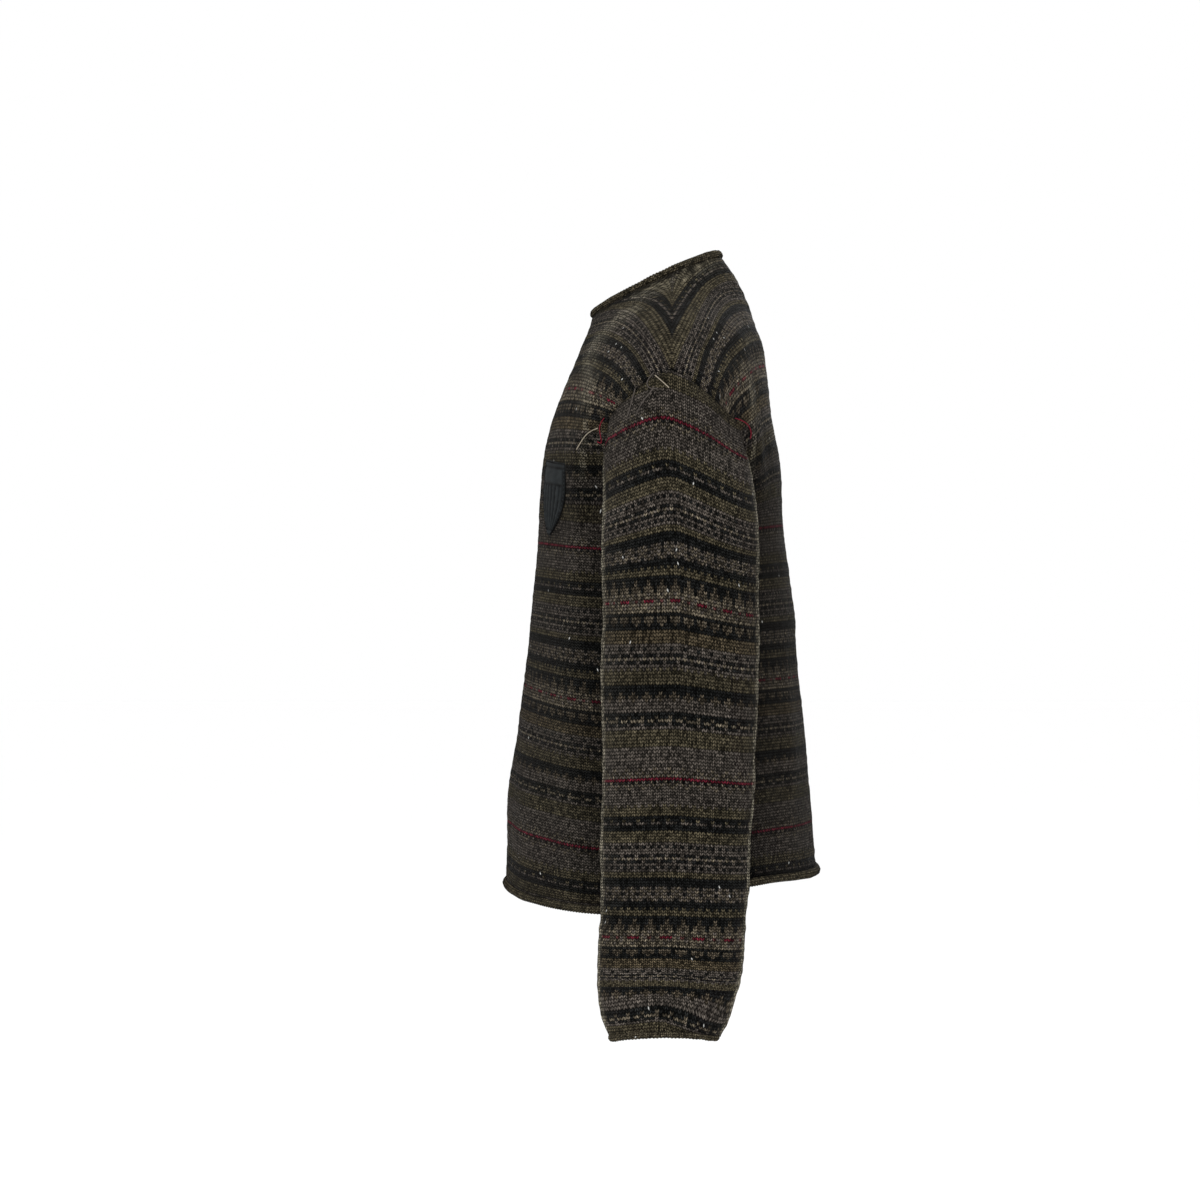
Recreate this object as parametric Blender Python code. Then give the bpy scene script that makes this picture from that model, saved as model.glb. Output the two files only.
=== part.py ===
"""A worn fair isle sweater: hollow knitted walls in a standing pose, with the sleeves hanging."""

import math

import bmesh
import bpy
import numpy as np

# Driving sizes, in metres. +Z is up, the wearer faces -Y, and the wearer's left is +X.
# Heights are measured from the level where the shoulder seams meet the neck.
WALL = 0.003
SEAM_GAP = 0.0003
NECK_ROLL_RADIUS = 0.0028
HEM_ROLL_RADIUS = 0.0035
CUFF_ROLL_RADIUS = 0.0031

# The neck edge lies in one sloping plane, high at the back.
NECK_PLANE_HEIGHT = -0.0075
NECK_PLANE_SLOPE = 0.48

# The body's outer surface, as level sections from the hem up to the neck.
BODY_COLUMNS = ("height", "half_width", "front_reach", "back_reach", "squareness")
BODY_SECTIONS = (
    (-0.620, 0.2270, 0.1605, 0.1430, 2.20),
    (-0.560, 0.2210, 0.1590, 0.1378, 2.25),
    (-0.500, 0.2130, 0.1570, 0.1325, 2.30),
    (-0.435, 0.2025, 0.1474, 0.1271, 2.40),
    (-0.370, 0.1920, 0.1395, 0.1202, 2.50),
    (-0.310, 0.1830, 0.1340, 0.1145, 2.60),
    (-0.258, 0.1780, 0.1288, 0.1085, 2.60),
    (-0.215, 0.1850, 0.1259, 0.1055, 2.55),
    (-0.180, 0.2010, 0.1222, 0.1020, 2.45),
    (-0.144, 0.2210, 0.1145, 0.0965, 2.30),
    (-0.107, 0.2350, 0.1015, 0.0926, 2.10),
    (-0.092, 0.2250, 0.0946, 0.0912, 2.00),
    (-0.073, 0.2050, 0.0868, 0.0886, 2.00),
    (-0.057, 0.1800, 0.0798, 0.0829, 1.95),
    (-0.044, 0.1500, 0.0757, 0.0786, 1.85),
    (-0.034, 0.1250, 0.0720, 0.0752, 1.75),
    (-0.024, 0.1060, 0.0680, 0.0704, 1.70),
    (-0.012, 0.0915, 0.0625, 0.0646, 1.70),
    (0.000, 0.0805, 0.0560, 0.0569, 1.75),
    (0.025, 0.0620, 0.0420, 0.0370, 1.90),
)

# Each armhole's edge from the underarm up to the shoulder tip: how far it lies in front of
# the side seam on the front panel, and behind it on the back panel.
ARMHOLE_COLUMNS = ("height", "front", "back")
ARMHOLE_EDGE = (
    (-0.2600, 0.0000, 0.0000),
    (-0.2550, 0.0220, 0.0250),
    (-0.2350, 0.0450, 0.0510),
    (-0.2080, 0.0590, 0.0650),
    (-0.1800, 0.0622, 0.0668),
    (-0.1570, 0.0597, 0.0625),
    (-0.1436, 0.0540, 0.0560),
    (-0.1218, 0.0290, 0.0270),
    (-0.1070, 0.0000, 0.0000),
)

# Courses are the knitted rows. They are counted in pattern repeats down from the red line on
# the chest. centre_height is where a course crosses the panel's middle, and quarter_drop is
# the share of its fall towards the edge that it has made just before the sleeve.
COURSE_COLUMNS = ("course", "centre_height", "quarter_drop")
FRONT_COURSES = (
    (-0.930, 0.0000, 0.45),
    (-0.770, -0.0440, 0.38),
    (-0.670, -0.0689, 0.36),
    (-0.540, -0.0990, 0.42),
    (-0.433, -0.1339, 0.50),
    (-0.235, -0.1950, 0.75),
    (0.000, -0.2609, 1.02),
    (0.500, -0.3938, 1.20),
    (1.000, -0.5267, 1.48),
    (1.224, -0.5873, 2.40),
)
BACK_COURSES = (
    (-0.930, 0.0180, 0.45),
    (-0.893, 0.0130, 0.45),
    (-0.850, 0.0030, 0.42),
    (-0.670, -0.0349, 0.36),
    (-0.433, -0.1096, 0.50),
    (-0.235, -0.1688, 0.60),
    (0.000, -0.2444, 0.52),
    (0.500, -0.3855, 0.45),
    (1.000, -0.5267, 0.42),
    (1.170, -0.5750, 0.15),
)
SIDE_COLUMNS = ("course", "side_height")
FRONT_SIDE = ((-0.035, -0.2600), (0.000, -0.2690), (1.000, -0.5390), (1.224, -0.5925))
BACK_SIDE = ((-0.035, -0.2600), (0.000, -0.2690), (1.000, -0.5390), (1.170, -0.5925))
UNDERARM_COURSE = -0.035
SHOULDER_TIP_COURSE = -0.79
NECK_POINT_COURSE = -0.93
FRONT_NECK_COURSE = -0.77
BACK_NECK_COURSE = -0.893
NECK_SHARE = 0.375  # of the panel's half width that the neck takes
FRONT_NECK_FAN = 0.62     # how fast the neck edge turns round the body, near the middle
BACK_NECK_FAN = 1.50
FALL_SHARE = 0.78         # share of a course's turn at which the tables' quarter_drop is met

# Soft folds of the body: where each runs, how long and wide it is, and how far it stands out.
FOLD_COLUMNS = ("face", "turn", "height", "half_length", "half_spread", "push")
BODY_FOLDS = (
    (-1, 0.86, -0.175, 0.085, 0.11, 0.0050),
    (-1, 1.12, -0.215, 0.070, 0.15, -0.0050),
    (-1, 0.93, -0.330, 0.080, 0.16, 0.0030),
    (-1, 0.55, -0.560, 0.090, 0.20, 0.0030),
    (-1, 1.18, -0.540, 0.110, 0.20, -0.0030),
    (1, 0.76, -0.165, 0.080, 0.12, 0.0050),
    (1, 1.06, -0.205, 0.070, 0.15, -0.0050),
    (1, 0.62, -0.420, 0.120, 0.20, 0.0030),
    (1, 1.10, -0.540, 0.110, 0.22, 0.0030),
)

# The hanging sleeve, as level sections from the shoulder tip down to the cuff.
SLEEVE_COLUMNS = ("height", "centre_x", "half_depth", "centre_y", "half_width")
SLEEVE_SECTIONS = (
    (-0.720, 0.2700, 0.0262, -0.0078, 0.0450),
    (-0.711, 0.2700, 0.0272, -0.0072, 0.0486),
    (-0.6965, 0.2695, 0.0285, -0.0058, 0.0554),
    (-0.6695, 0.2690, 0.0300, -0.0040, 0.0608),
    (-0.6425, 0.2680, 0.0312, -0.0018, 0.0631),
    (-0.580, 0.2640, 0.0325, 0.0025, 0.0652),
    (-0.480, 0.2530, 0.0345, 0.0054, 0.0677),
    (-0.4086, 0.2420, 0.0355, 0.0067, 0.0692),
    (-0.318, 0.2290, 0.0360, 0.0075, 0.0696),
    (-0.2328, 0.2250, 0.0355, 0.0068, 0.0684),
    (-0.180, 0.2215, 0.0350, 0.0025, 0.0640),
    (-0.144, 0.2160, 0.0330, 0.0010, 0.0570),
    (-0.107, 0.2040, 0.0310, 0.0000, 0.0450),
)
SLEEVE_TOP = -0.107
SLEEVE_END = -0.7045
SLEEVE_TOP_TILT = 0.151   # how much lower the underarm side starts than the outer side
SLEEVE_TILT_SHARE = 0.55  # of the sleeve's length over which its rings come level
SLEEVE_TILT_EASE = 1.6    # how quickly the tilt is lost near the top
SLEEVE_SEAM_SHARE = 0.20  # of its length over which it takes the armhole's shape
SLEEVE_SEAM_LIFT = 1.7    # seam gaps by which its top edge stands outside the body's surface
SLEEVE_FLATNESS = 0.5     # depth to width, for spacing the columns round it
CUFF_ARCH = 0.006         # the cuff's outer middle lies this much above its corners

# The patch on the wearer's left chest.
PATCH_WIDTH = 0.066
PATCH_HEIGHT = 0.0715
PATCH_THICKNESS = 0.0022
PATCH_TOP_HEIGHT = -0.1875
PATCH_FROM_MIDDLE = 0.1145 # round the chest from the front's middle line to the top edge's middle
PATCH_TILT = 0.09          # slope of the top edge down towards the sleeve
PATCH_SHOULDER = 0.32      # share of the height above which the shield keeps its full width
PATCH_TIP_SHARE = 0.975    # the tip is blunt beyond this share of the height
PATCH_SIDE_CURVE = 1.9     # power of the curve by which the sides draw in to the tip

# Mesh steps.
PANEL_COLUMNS = 16        # on each side of the middle
SIDE_ROWS = 10
ARMHOLE_ROWS = 12
SLEEVE_ROWS = 22
PATCH_ROWS = 10
PATCH_COLUMNS = 8
COURSE_SAMPLES = 49

YARN = (0.036, 0.031, 0.023)
ROLL_YARN = (0.022, 0.018, 0.011)
PATCH_LEATHER = (0.017, 0.019, 0.020)


def remove_all_objects():
    for old in list(bpy.data.objects):
        bpy.data.objects.remove(old, do_unlink=True)


def column(table, names, name):
    """One named column of a table as an array."""
    return np.array([row[names.index(name)] for row in table])


def read_table(places, values, at):
    """The value at a place between rows, on a cubic that keeps the rows' own slopes."""
    slopes = np.gradient(values, places)
    at = np.clip(at, places[0], places[-1])
    row = np.clip(np.searchsorted(places, at) - 1, 0, len(places) - 2)
    span = places[row + 1] - places[row]
    t = (at - places[row]) / span
    start = values[row] * (1 + 2 * t) * (1 - t) ** 2 + slopes[row] * span * t * (1 - t) ** 2
    end = values[row + 1] * t ** 2 * (3 - 2 * t) - slopes[row + 1] * span * t ** 2 * (1 - t)
    return start + end


def body_value(name, height):
    places = column(BODY_SECTIONS, BODY_COLUMNS, "height")
    return read_table(places, column(BODY_SECTIONS, BODY_COLUMNS, name), height)


def sleeve_value(name, height):
    places = column(SLEEVE_SECTIONS, SLEEVE_COLUMNS, "height")
    return read_table(places, column(SLEEVE_SECTIONS, SLEEVE_COLUMNS, name), height)


def signed_power(value, power):
    return np.sign(value) * np.abs(value) ** power


def body_point(face, turn, height):
    """A point on the body. face is -1 in front and 1 behind; turn runs from 0 at the middle
    to a quarter turn at the side."""
    half_width = body_value("half_width", height)
    reach = body_value("front_reach" if face < 0 else "back_reach", height)
    power = 2 / body_value("squareness", height)
    x = half_width * signed_power(np.sin(turn), power)
    y = face * reach * signed_power(np.cos(turn), power)
    push = np.zeros_like(x)
    for fold_face, fold_turn, middle, half_length, half_spread, stand in BODY_FOLDS:
        if fold_face == face:
            along = (height - middle) / half_length
            across = (turn - fold_turn) / half_spread
            push = push + stand * np.exp(-along ** 2 - across ** 2)
    out_x = np.sin(turn)
    out_y = face * np.cos(turn)
    return np.stack([x + push * out_x, y + push * out_y, height + 0 * x], axis=-1)


def unit(vectors):
    return vectors / np.linalg.norm(vectors, axis=-1, keepdims=True)


def body_normal(face, turn, height):
    """The outward direction of the body's surface."""
    step = 0.001
    along = body_point(face, turn + step, height) - body_point(face, turn - step, height)
    up = body_point(face, turn, height + step) - body_point(face, turn, height - step)
    return unit(np.cross(along, up) * -face)


def running_length(points):
    steps = np.linalg.norm(np.diff(points, axis=-2), axis=-1)
    return np.concatenate([np.zeros(steps.shape[:-1] + (1,)), np.cumsum(steps, axis=-1)], axis=-1)


def armhole_edge(face):
    """Turn and height along an armhole's edge at even steps, from the underarm to the tip."""
    rows = np.arange(len(ARMHOLE_EDGE), dtype=float)
    fine = np.linspace(0, rows[-1], 400)
    height = read_table(rows, column(ARMHOLE_EDGE, ARMHOLE_COLUMNS, "height"), fine)
    name = "front" if face < 0 else "back"
    offset = np.maximum(read_table(rows, column(ARMHOLE_EDGE, ARMHOLE_COLUMNS, name), fine), 0)
    reach = body_value("front_reach" if face < 0 else "back_reach", height)
    turn = np.arccos((offset / reach) ** (body_value("squareness", height) / 2))
    turn[[0, -1]] = math.pi / 2
    length = running_length(body_point(face, turn, height))
    return turn, height, length / length[-1]


def shoulder_ridge():
    """Height along the shoulder seam at even steps, from the tip up to the neck point."""
    height = np.linspace(SLEEVE_TOP, NECK_PLANE_HEIGHT, 200)
    points = np.stack([body_value("half_width", height), 0 * height, height], axis=-1)
    length = running_length(points)
    return height, length / length[-1]


def neck_height(face, turn):
    """Where the neck plane crosses the body's surface, found by halving."""
    low = np.full_like(turn, -0.080)
    high = np.full_like(turn, 0.025)
    for _ in range(40):
        middle = (low + high) / 2
        point = body_point(face, turn, middle)
        above = middle > NECK_PLANE_HEIGHT + NECK_PLANE_SLOPE * point[..., 1]
        high = np.where(above, middle, high)
        low = np.where(above, low, middle)
    return low


class Panel:
    """The front or the back, as a map from the flat panel to the worn one."""

    def __init__(self, face):
        self.face = face
        courses = FRONT_COURSES if face < 0 else BACK_COURSES
        side = FRONT_SIDE if face < 0 else BACK_SIDE
        self.course = column(courses, COURSE_COLUMNS, "course")
        self.centre = column(courses, COURSE_COLUMNS, "centre_height")
        self.drop = column(courses, COURSE_COLUMNS, "quarter_drop")
        self.side_course = column(side, SIDE_COLUMNS, "course")
        self.side_height = column(side, SIDE_COLUMNS, "side_height")
        self.neck_course = FRONT_NECK_COURSE if face < 0 else BACK_NECK_COURSE
        self.neck_fan = FRONT_NECK_FAN if face < 0 else BACK_NECK_FAN
        self.hem_course = self.course[-1]
        self.arm_turn, self.arm_height, self.arm_share = armhole_edge(face)
        self.ridge_height, self.ridge_share = shoulder_ridge()

    def top_course(self, across):
        """The course at the neck edge or the shoulder seam, for a share of the half width."""
        near_neck = np.sqrt(np.maximum(1 - (across / NECK_SHARE) ** 2, 0))
        neck = NECK_POINT_COURSE + (self.neck_course - NECK_POINT_COURSE) * near_neck
        along = (across - NECK_SHARE) / (1 - NECK_SHARE)
        shoulder = NECK_POINT_COURSE + (SHOULDER_TIP_COURSE - NECK_POINT_COURSE) * along
        return np.where(across < NECK_SHARE, neck, shoulder)

    def edge(self, course):
        """Turn and height where a course meets the side seam, the armhole or the shoulder."""
        arm = (UNDERARM_COURSE - course) / (UNDERARM_COURSE - SHOULDER_TIP_COURSE)
        ridge = (SHOULDER_TIP_COURSE - course) / (SHOULDER_TIP_COURSE - NECK_POINT_COURSE)
        turn = np.interp(arm, self.arm_share, self.arm_turn)
        height = np.interp(arm, self.arm_share, self.arm_height)
        below = course >= UNDERARM_COURSE
        above = course <= SHOULDER_TIP_COURSE
        turn = np.where(below | above, math.pi / 2, turn)
        height = np.where(below, read_table(self.side_course, self.side_height, course), height)
        height = np.where(above, np.interp(ridge, self.ridge_share, self.ridge_height), height)
        return turn, height

    def start(self, course):
        """Turn, height and share of the half width where a course leaves the middle or neck."""
        rise = (course - NECK_POINT_COURSE) / (self.neck_course - NECK_POINT_COURSE)
        side = np.sqrt(np.maximum(1 - np.clip(rise, 0, 1) ** 2, 0))
        turn = self.neck_fan * side + (math.pi / 2 - self.neck_fan) * side ** 3
        centre = read_table(self.course, self.centre, course)
        height = np.where(course < self.neck_course, neck_height(self.face, turn), centre)
        return turn, height, NECK_SHARE * side

    def place(self, across, course):
        """Turn and height of a point of the flat panel once it is worn."""
        start_turn, start_height, start_share = self.start(course)
        edge_turn, edge_height = self.edge(course)
        shoulder = (course - NECK_POINT_COURSE) / (SHOULDER_TIP_COURSE - NECK_POINT_COURSE)
        end_share = NECK_SHARE + (1 - NECK_SHARE) * np.clip(shoulder, 0, 1)
        width = np.maximum(end_share - start_share, 1e-6)
        share = np.clip((across - start_share) / width, 0, 1)
        drop = read_table(self.course, self.drop, course)
        fourth = (FALL_SHARE ** 2 - drop) / (FALL_SHARE ** 2 - FALL_SHARE ** 4)
        q = np.linspace(0, 1, COURSE_SAMPLES)
        fall = (1 - fourth)[:, None] * q ** 2 + fourth[:, None] * q ** 4
        turn = start_turn[:, None] + (edge_turn - start_turn)[:, None] * q
        height = start_height[:, None] + (edge_height - start_height)[:, None] * fall
        length = running_length(body_point(self.face, turn, height))
        wanted = share * length[:, -1]
        at = np.array([np.interp(w, row, q) for w, row in zip(wanted, length)])
        fall_at = (1 - fourth) * at ** 2 + fourth * at ** 4
        return (start_turn + (edge_turn - start_turn) * at,
                start_height + (edge_height - start_height) * fall_at)

    def surface(self, across, course):
        """Worn points and outward directions; across is negative on the wearer's right."""
        shape = np.broadcast(across, course).shape
        across = np.broadcast_to(across, shape).ravel()
        course = np.broadcast_to(course, shape).ravel()
        turn, height = self.place(np.abs(across), course)
        point = body_point(self.face, turn, height)
        normal = body_normal(self.face, turn, height)
        mirror = np.where(across < 0, -1.0, 1.0)
        point[:, 0] *= mirror
        normal[:, 0] *= mirror
        return point.reshape(shape + (3,)), normal.reshape(shape + (3,))

    def grid(self):
        """Rows from the hem to the top, columns from the wearer's right to the left."""
        across = np.linspace(-1, 1, 2 * PANEL_COLUMNS + 1)[None, :]
        top = self.top_course(np.abs(across))
        lower = np.linspace(0, 1, SIDE_ROWS, endpoint=False)[:, None]
        upper = np.linspace(0, 1, ARMHOLE_ROWS + 1)[:, None]
        course = np.concatenate([
            self.hem_course + (UNDERARM_COURSE - self.hem_course) * lower + 0 * across,
            UNDERARM_COURSE + (top - UNDERARM_COURSE) * upper,
        ])
        return across + 0 * course, course


def material(name, colour, roughness):
    made = bpy.data.materials.new(name)
    made.use_nodes = True
    shader = made.node_tree.nodes["Principled BSDF"]
    shader.inputs["Base Color"].default_value = (*colour, 1)
    shader.inputs["Roughness"].default_value = roughness
    shader.inputs["Metallic"].default_value = 0
    return made


def object_from(name, mesh_data, look):
    made = bpy.data.objects.new(name, mesh_data)
    bpy.context.scene.collection.objects.link(made)
    made.data.materials.append(look)
    return made


def wall(name, outer, inner, closed_round, look):
    """A closed wall between an outer and an inner grid of points."""
    rows, columns = outer.shape[:2]
    shape = bmesh.new()
    outside = [[shape.verts.new(point) for point in row] for row in outer]
    inside = [[shape.verts.new(point) for point in row] for row in inner]
    last = columns if closed_round else columns - 1
    for r in range(rows - 1):
        for c in range(last):
            d = (c + 1) % columns
            shape.faces.new((outside[r][c], outside[r][d], outside[r + 1][d], outside[r + 1][c]))
            shape.faces.new((inside[r][c], inside[r + 1][c], inside[r + 1][d], inside[r][d]))
    for c in range(last):
        d = (c + 1) % columns
        shape.faces.new((outside[0][d], outside[0][c], inside[0][c], inside[0][d]))
        shape.faces.new((outside[-1][c], outside[-1][d], inside[-1][d], inside[-1][c]))
    if not closed_round:
        for r in range(rows - 1):
            shape.faces.new((outside[r][0], outside[r + 1][0], inside[r + 1][0], inside[r][0]))
            shape.faces.new((outside[r + 1][-1], outside[r][-1], inside[r][-1], inside[r + 1][-1]))
    bmesh.ops.recalc_face_normals(shape, faces=shape.faces[:])
    mesh = bpy.data.meshes.new(name)
    shape.to_mesh(mesh)
    shape.free()
    mesh.shade_smooth()
    return object_from(name, mesh, look)


def build_panel(name, panel, look):
    across, course = panel.grid()
    outer, normal = panel.surface(across, course)
    inner = outer - WALL * normal
    # The seams at the sides and along the shoulders stay open by the seam gap.
    neck_columns = np.abs(across[0]) >= NECK_SHARE - 1e-9
    for points in (outer, inner):
        points[:SIDE_ROWS + 1, [0, -1], 1] += panel.face * SEAM_GAP / 2
        points[-1, neck_columns, 1] += panel.face * SEAM_GAP / 2
    wall(name, outer, inner, False, look)
    return outer, inner


def section_turns(count):
    """Turns around a sleeve, from its outer middle towards the front, at even lengths."""
    fine = np.linspace(0, 2 * math.pi, 721)
    points = np.stack([SLEEVE_FLATNESS * np.cos(fine), np.sin(fine)], axis=-1)
    length = running_length(points)
    return np.interp(np.arange(count) / count, length / length[-1], fine)


def sleeve_point(turn, height):
    """A point on the hanging sleeve's own outer surface, on the wearer's left."""
    x = sleeve_value("centre_x", height) + sleeve_value("half_depth", height) * np.cos(turn)
    y = sleeve_value("centre_y", height) - sleeve_value("half_width", height) * np.sin(turn)
    return np.stack([x, y, height], axis=-1)


def armhole_ring(front, back):
    """The left armhole's edge from the shoulder tip round the front, with the gap added."""
    share = np.linspace(0, 1, ARMHOLE_ROWS + 1)
    rings = []
    for panel in (front, back):
        turn = np.interp(share, panel.arm_share, panel.arm_turn)
        height = np.interp(share, panel.arm_share, panel.arm_height)
        rings.append((body_point(panel.face, turn, height), body_normal(panel.face, turn, height)))
    points = np.concatenate([rings[0][0][::-1], rings[1][0][1:-1]])
    normals = np.concatenate([rings[0][1][::-1], rings[1][1][1:-1]])
    run = np.roll(points, -1, axis=0) - np.roll(points, 1, axis=0)
    into_hole = unit(np.cross(normals, run))
    to_middle = points.mean(axis=0) - points
    into_hole *= np.sign(np.sum(into_hole * to_middle, axis=-1))[:, None]
    return points + SEAM_GAP * (into_hole + SLEEVE_SEAM_LIFT * normals)


def sleeve_grid(ring):
    """Rings of the left sleeve from the armhole to the cuff."""
    count = len(ring)
    turn = section_turns(count)
    low_side = (1 - np.cos(2 * math.pi * np.arange(count) / count)) / 2
    corners = np.sin(turn) ** 2
    rows = []
    first = None
    for share in np.linspace(0, 1, SLEEVE_ROWS + 1):
        level = np.clip(share / SLEEVE_TILT_SHARE, 0, 1)
        tilt = SLEEVE_TOP_TILT * (1 - level) ** SLEEVE_TILT_EASE
        height = SLEEVE_TOP + (SLEEVE_END - SLEEVE_TOP) * share - tilt * low_side
        height = height - CUFF_ARCH * corners * share ** 4
        own = sleeve_point(turn, height)
        if first is None:
            first = own
        near = np.clip(1 - share / SLEEVE_SEAM_SHARE, 0, 1)
        rows.append(own + near ** 2 * (3 - 2 * near) * (ring - first))
    return np.array(rows)


def tube_normals(grid):
    around = np.roll(grid, -1, axis=1) - np.roll(grid, 1, axis=1)
    along = np.gradient(grid, axis=0)
    normal = unit(np.cross(around, along))
    outward = grid - grid.mean(axis=1, keepdims=True)
    return normal * np.sign(np.sum(normal * outward))


def build_sleeve(name, grid, mirror, look):
    outer = grid.copy()
    inner = grid - WALL * tube_normals(grid)
    outer[..., 0] *= mirror
    inner[..., 0] *= mirror
    wall(name, outer, inner, True, look)
    return outer, inner


def build_roll(name, points, radius, look):
    """A rolled edge: a round tube along a closed line of points."""
    line = bpy.data.curves.new(name, "CURVE")
    line.dimensions = "3D"
    line.bevel_depth = radius
    line.bevel_resolution = 1
    spline = line.splines.new("POLY")
    spline.points.add(len(points) - 1)
    for spot, point in zip(spline.points, points):
        spot.co = (*point, 1)
    spline.use_cyclic_u = True
    return object_from(name, line, look)


def edge_line(outer, inner, next_outer, radius, outward):
    """The line of a roll that sits just beyond a wall's edge, moved out by a share."""
    middle = (outer + inner) / 2
    out = unit(outer - inner)
    run = np.roll(middle, -1, axis=0) - np.roll(middle, 1, axis=0)
    beyond = unit(np.cross(run, out))
    beyond *= np.sign(np.sum(beyond * (outer - next_outer), axis=-1))[:, None]
    return middle + beyond * (radius + SEAM_GAP) + out * radius * outward


def shield_half_width(down):
    """Half the patch's width at a share of its height below the top edge."""
    below = np.clip((down - PATCH_SHOULDER) / (1 - PATCH_SHOULDER), 0, 1)
    return PATCH_WIDTH / 2 * (1 - below ** PATCH_SIDE_CURVE)


def front_point(from_middle, height):
    """Points on the front and their outward directions, at distances round from the middle."""
    fine = np.linspace(0, math.pi / 2, 241)
    turns = []
    for distance, level in zip(from_middle, height):
        length = running_length(body_point(-1, fine, np.full_like(fine, level)))
        turns.append(np.interp(distance, length, fine))
    turns = np.array(turns)
    return body_point(-1, turns, height), body_normal(-1, turns, height)


def build_patch(look):
    side = np.linspace(-1, 1, PATCH_COLUMNS + 1)
    face = []
    back = []
    for down in np.linspace(0, PATCH_TIP_SHARE, PATCH_ROWS + 1):
        sideways = side * shield_half_width(down)
        fall = down * PATCH_HEIGHT
        point, normal = front_point(PATCH_FROM_MIDDLE + sideways - PATCH_TILT * fall,
                                    PATCH_TOP_HEIGHT - fall - PATCH_TILT * sideways)
        back.append(point + normal * SEAM_GAP)
        face.append(point + normal * (SEAM_GAP + PATCH_THICKNESS))
    wall("chest_patch", np.array(face), np.array(back), False, look)


def main():
    remove_all_objects()
    yarn = material("knit", YARN, 0.95)
    roll_yarn = material("rolled_knit", ROLL_YARN, 0.95)
    leather = material("patch_leather", PATCH_LEATHER, 0.55)

    front = Panel(-1)
    back = Panel(1)
    front_outer, front_inner = build_panel("front", front, yarn)
    back_outer, back_inner = build_panel("back", back, yarn)

    # Each pair of edge rows makes one loop: the front from right to left, then the back.
    def loop(front_row, back_row):
        return np.concatenate([front_row[:-1], back_row[::-1][:-1]])

    hem = edge_line(loop(front_outer[0], back_outer[0]), loop(front_inner[0], back_inner[0]),
                    loop(front_outer[1], back_outer[1]), HEM_ROLL_RADIUS, 0.15)
    build_roll("hem_roll", hem, HEM_ROLL_RADIUS, roll_yarn)

    neck_columns = int(round(NECK_SHARE * PANEL_COLUMNS))
    low = PANEL_COLUMNS - neck_columns
    high = PANEL_COLUMNS + neck_columns + 1
    neck = edge_line(loop(front_outer[-1, low:high], back_outer[-1, low:high]),
                     loop(front_inner[-1, low:high], back_inner[-1, low:high]),
                     loop(front_outer[-2, low:high], back_outer[-2, low:high]),
                     NECK_ROLL_RADIUS, 0.25)
    build_roll("neck_roll", neck, NECK_ROLL_RADIUS, roll_yarn)

    grid = sleeve_grid(armhole_ring(front, back))
    for side_name, mirror in (("left", 1), ("right", -1)):
        outer, inner = build_sleeve("sleeve_" + side_name, grid, mirror, yarn)
        cuff = edge_line(outer[-1], inner[-1], outer[-2], CUFF_ROLL_RADIUS, 0.15)
        build_roll("cuff_roll_" + side_name, cuff, CUFF_ROLL_RADIUS, roll_yarn)

    build_patch(leather)


main()
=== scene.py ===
# %% [markdown]
# # A worn fair isle sweater
#
# A hand-finished wool sweater keeps its worn form, open at the neck, the hem and the cuffs.
# The solids of the part are already packed. This script loads them as a fixed frame, knits a
# finer cloth over each of them, one face for each stitch, and adds yarn, seams and light.
#
# Everything is in metres. +Z is up, the wearer faces -Y, and the wearer's left is +X.

# %% Load the frame
import math

import bmesh
import bpy
import numpy as np
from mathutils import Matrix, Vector, noise


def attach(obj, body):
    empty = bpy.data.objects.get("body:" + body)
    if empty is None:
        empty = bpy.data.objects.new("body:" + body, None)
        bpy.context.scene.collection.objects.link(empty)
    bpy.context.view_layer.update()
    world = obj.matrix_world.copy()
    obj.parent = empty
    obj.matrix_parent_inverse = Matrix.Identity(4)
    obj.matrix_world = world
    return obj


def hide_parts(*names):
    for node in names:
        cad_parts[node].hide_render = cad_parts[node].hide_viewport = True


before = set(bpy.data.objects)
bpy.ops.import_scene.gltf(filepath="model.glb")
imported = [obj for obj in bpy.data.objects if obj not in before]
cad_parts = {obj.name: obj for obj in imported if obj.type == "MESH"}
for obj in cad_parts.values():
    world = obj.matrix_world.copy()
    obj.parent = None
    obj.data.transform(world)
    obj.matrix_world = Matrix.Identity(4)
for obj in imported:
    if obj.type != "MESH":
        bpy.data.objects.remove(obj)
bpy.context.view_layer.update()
print("solids:", sorted(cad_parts))

# %% [markdown]
# ## The worn form
#
# A sweater could be draped by simulation. Here its form is known from its cut and from how
# it hangs, so each panel is a map from the flat knitting to the worn surface, and the map is
# the same one as the solids use. The body is a stack of level sections. Each
# section is a rounded oval with its own width, its reach in front and behind, and a
# squareness of 2 for an ellipse and more for a fuller corner.

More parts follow.
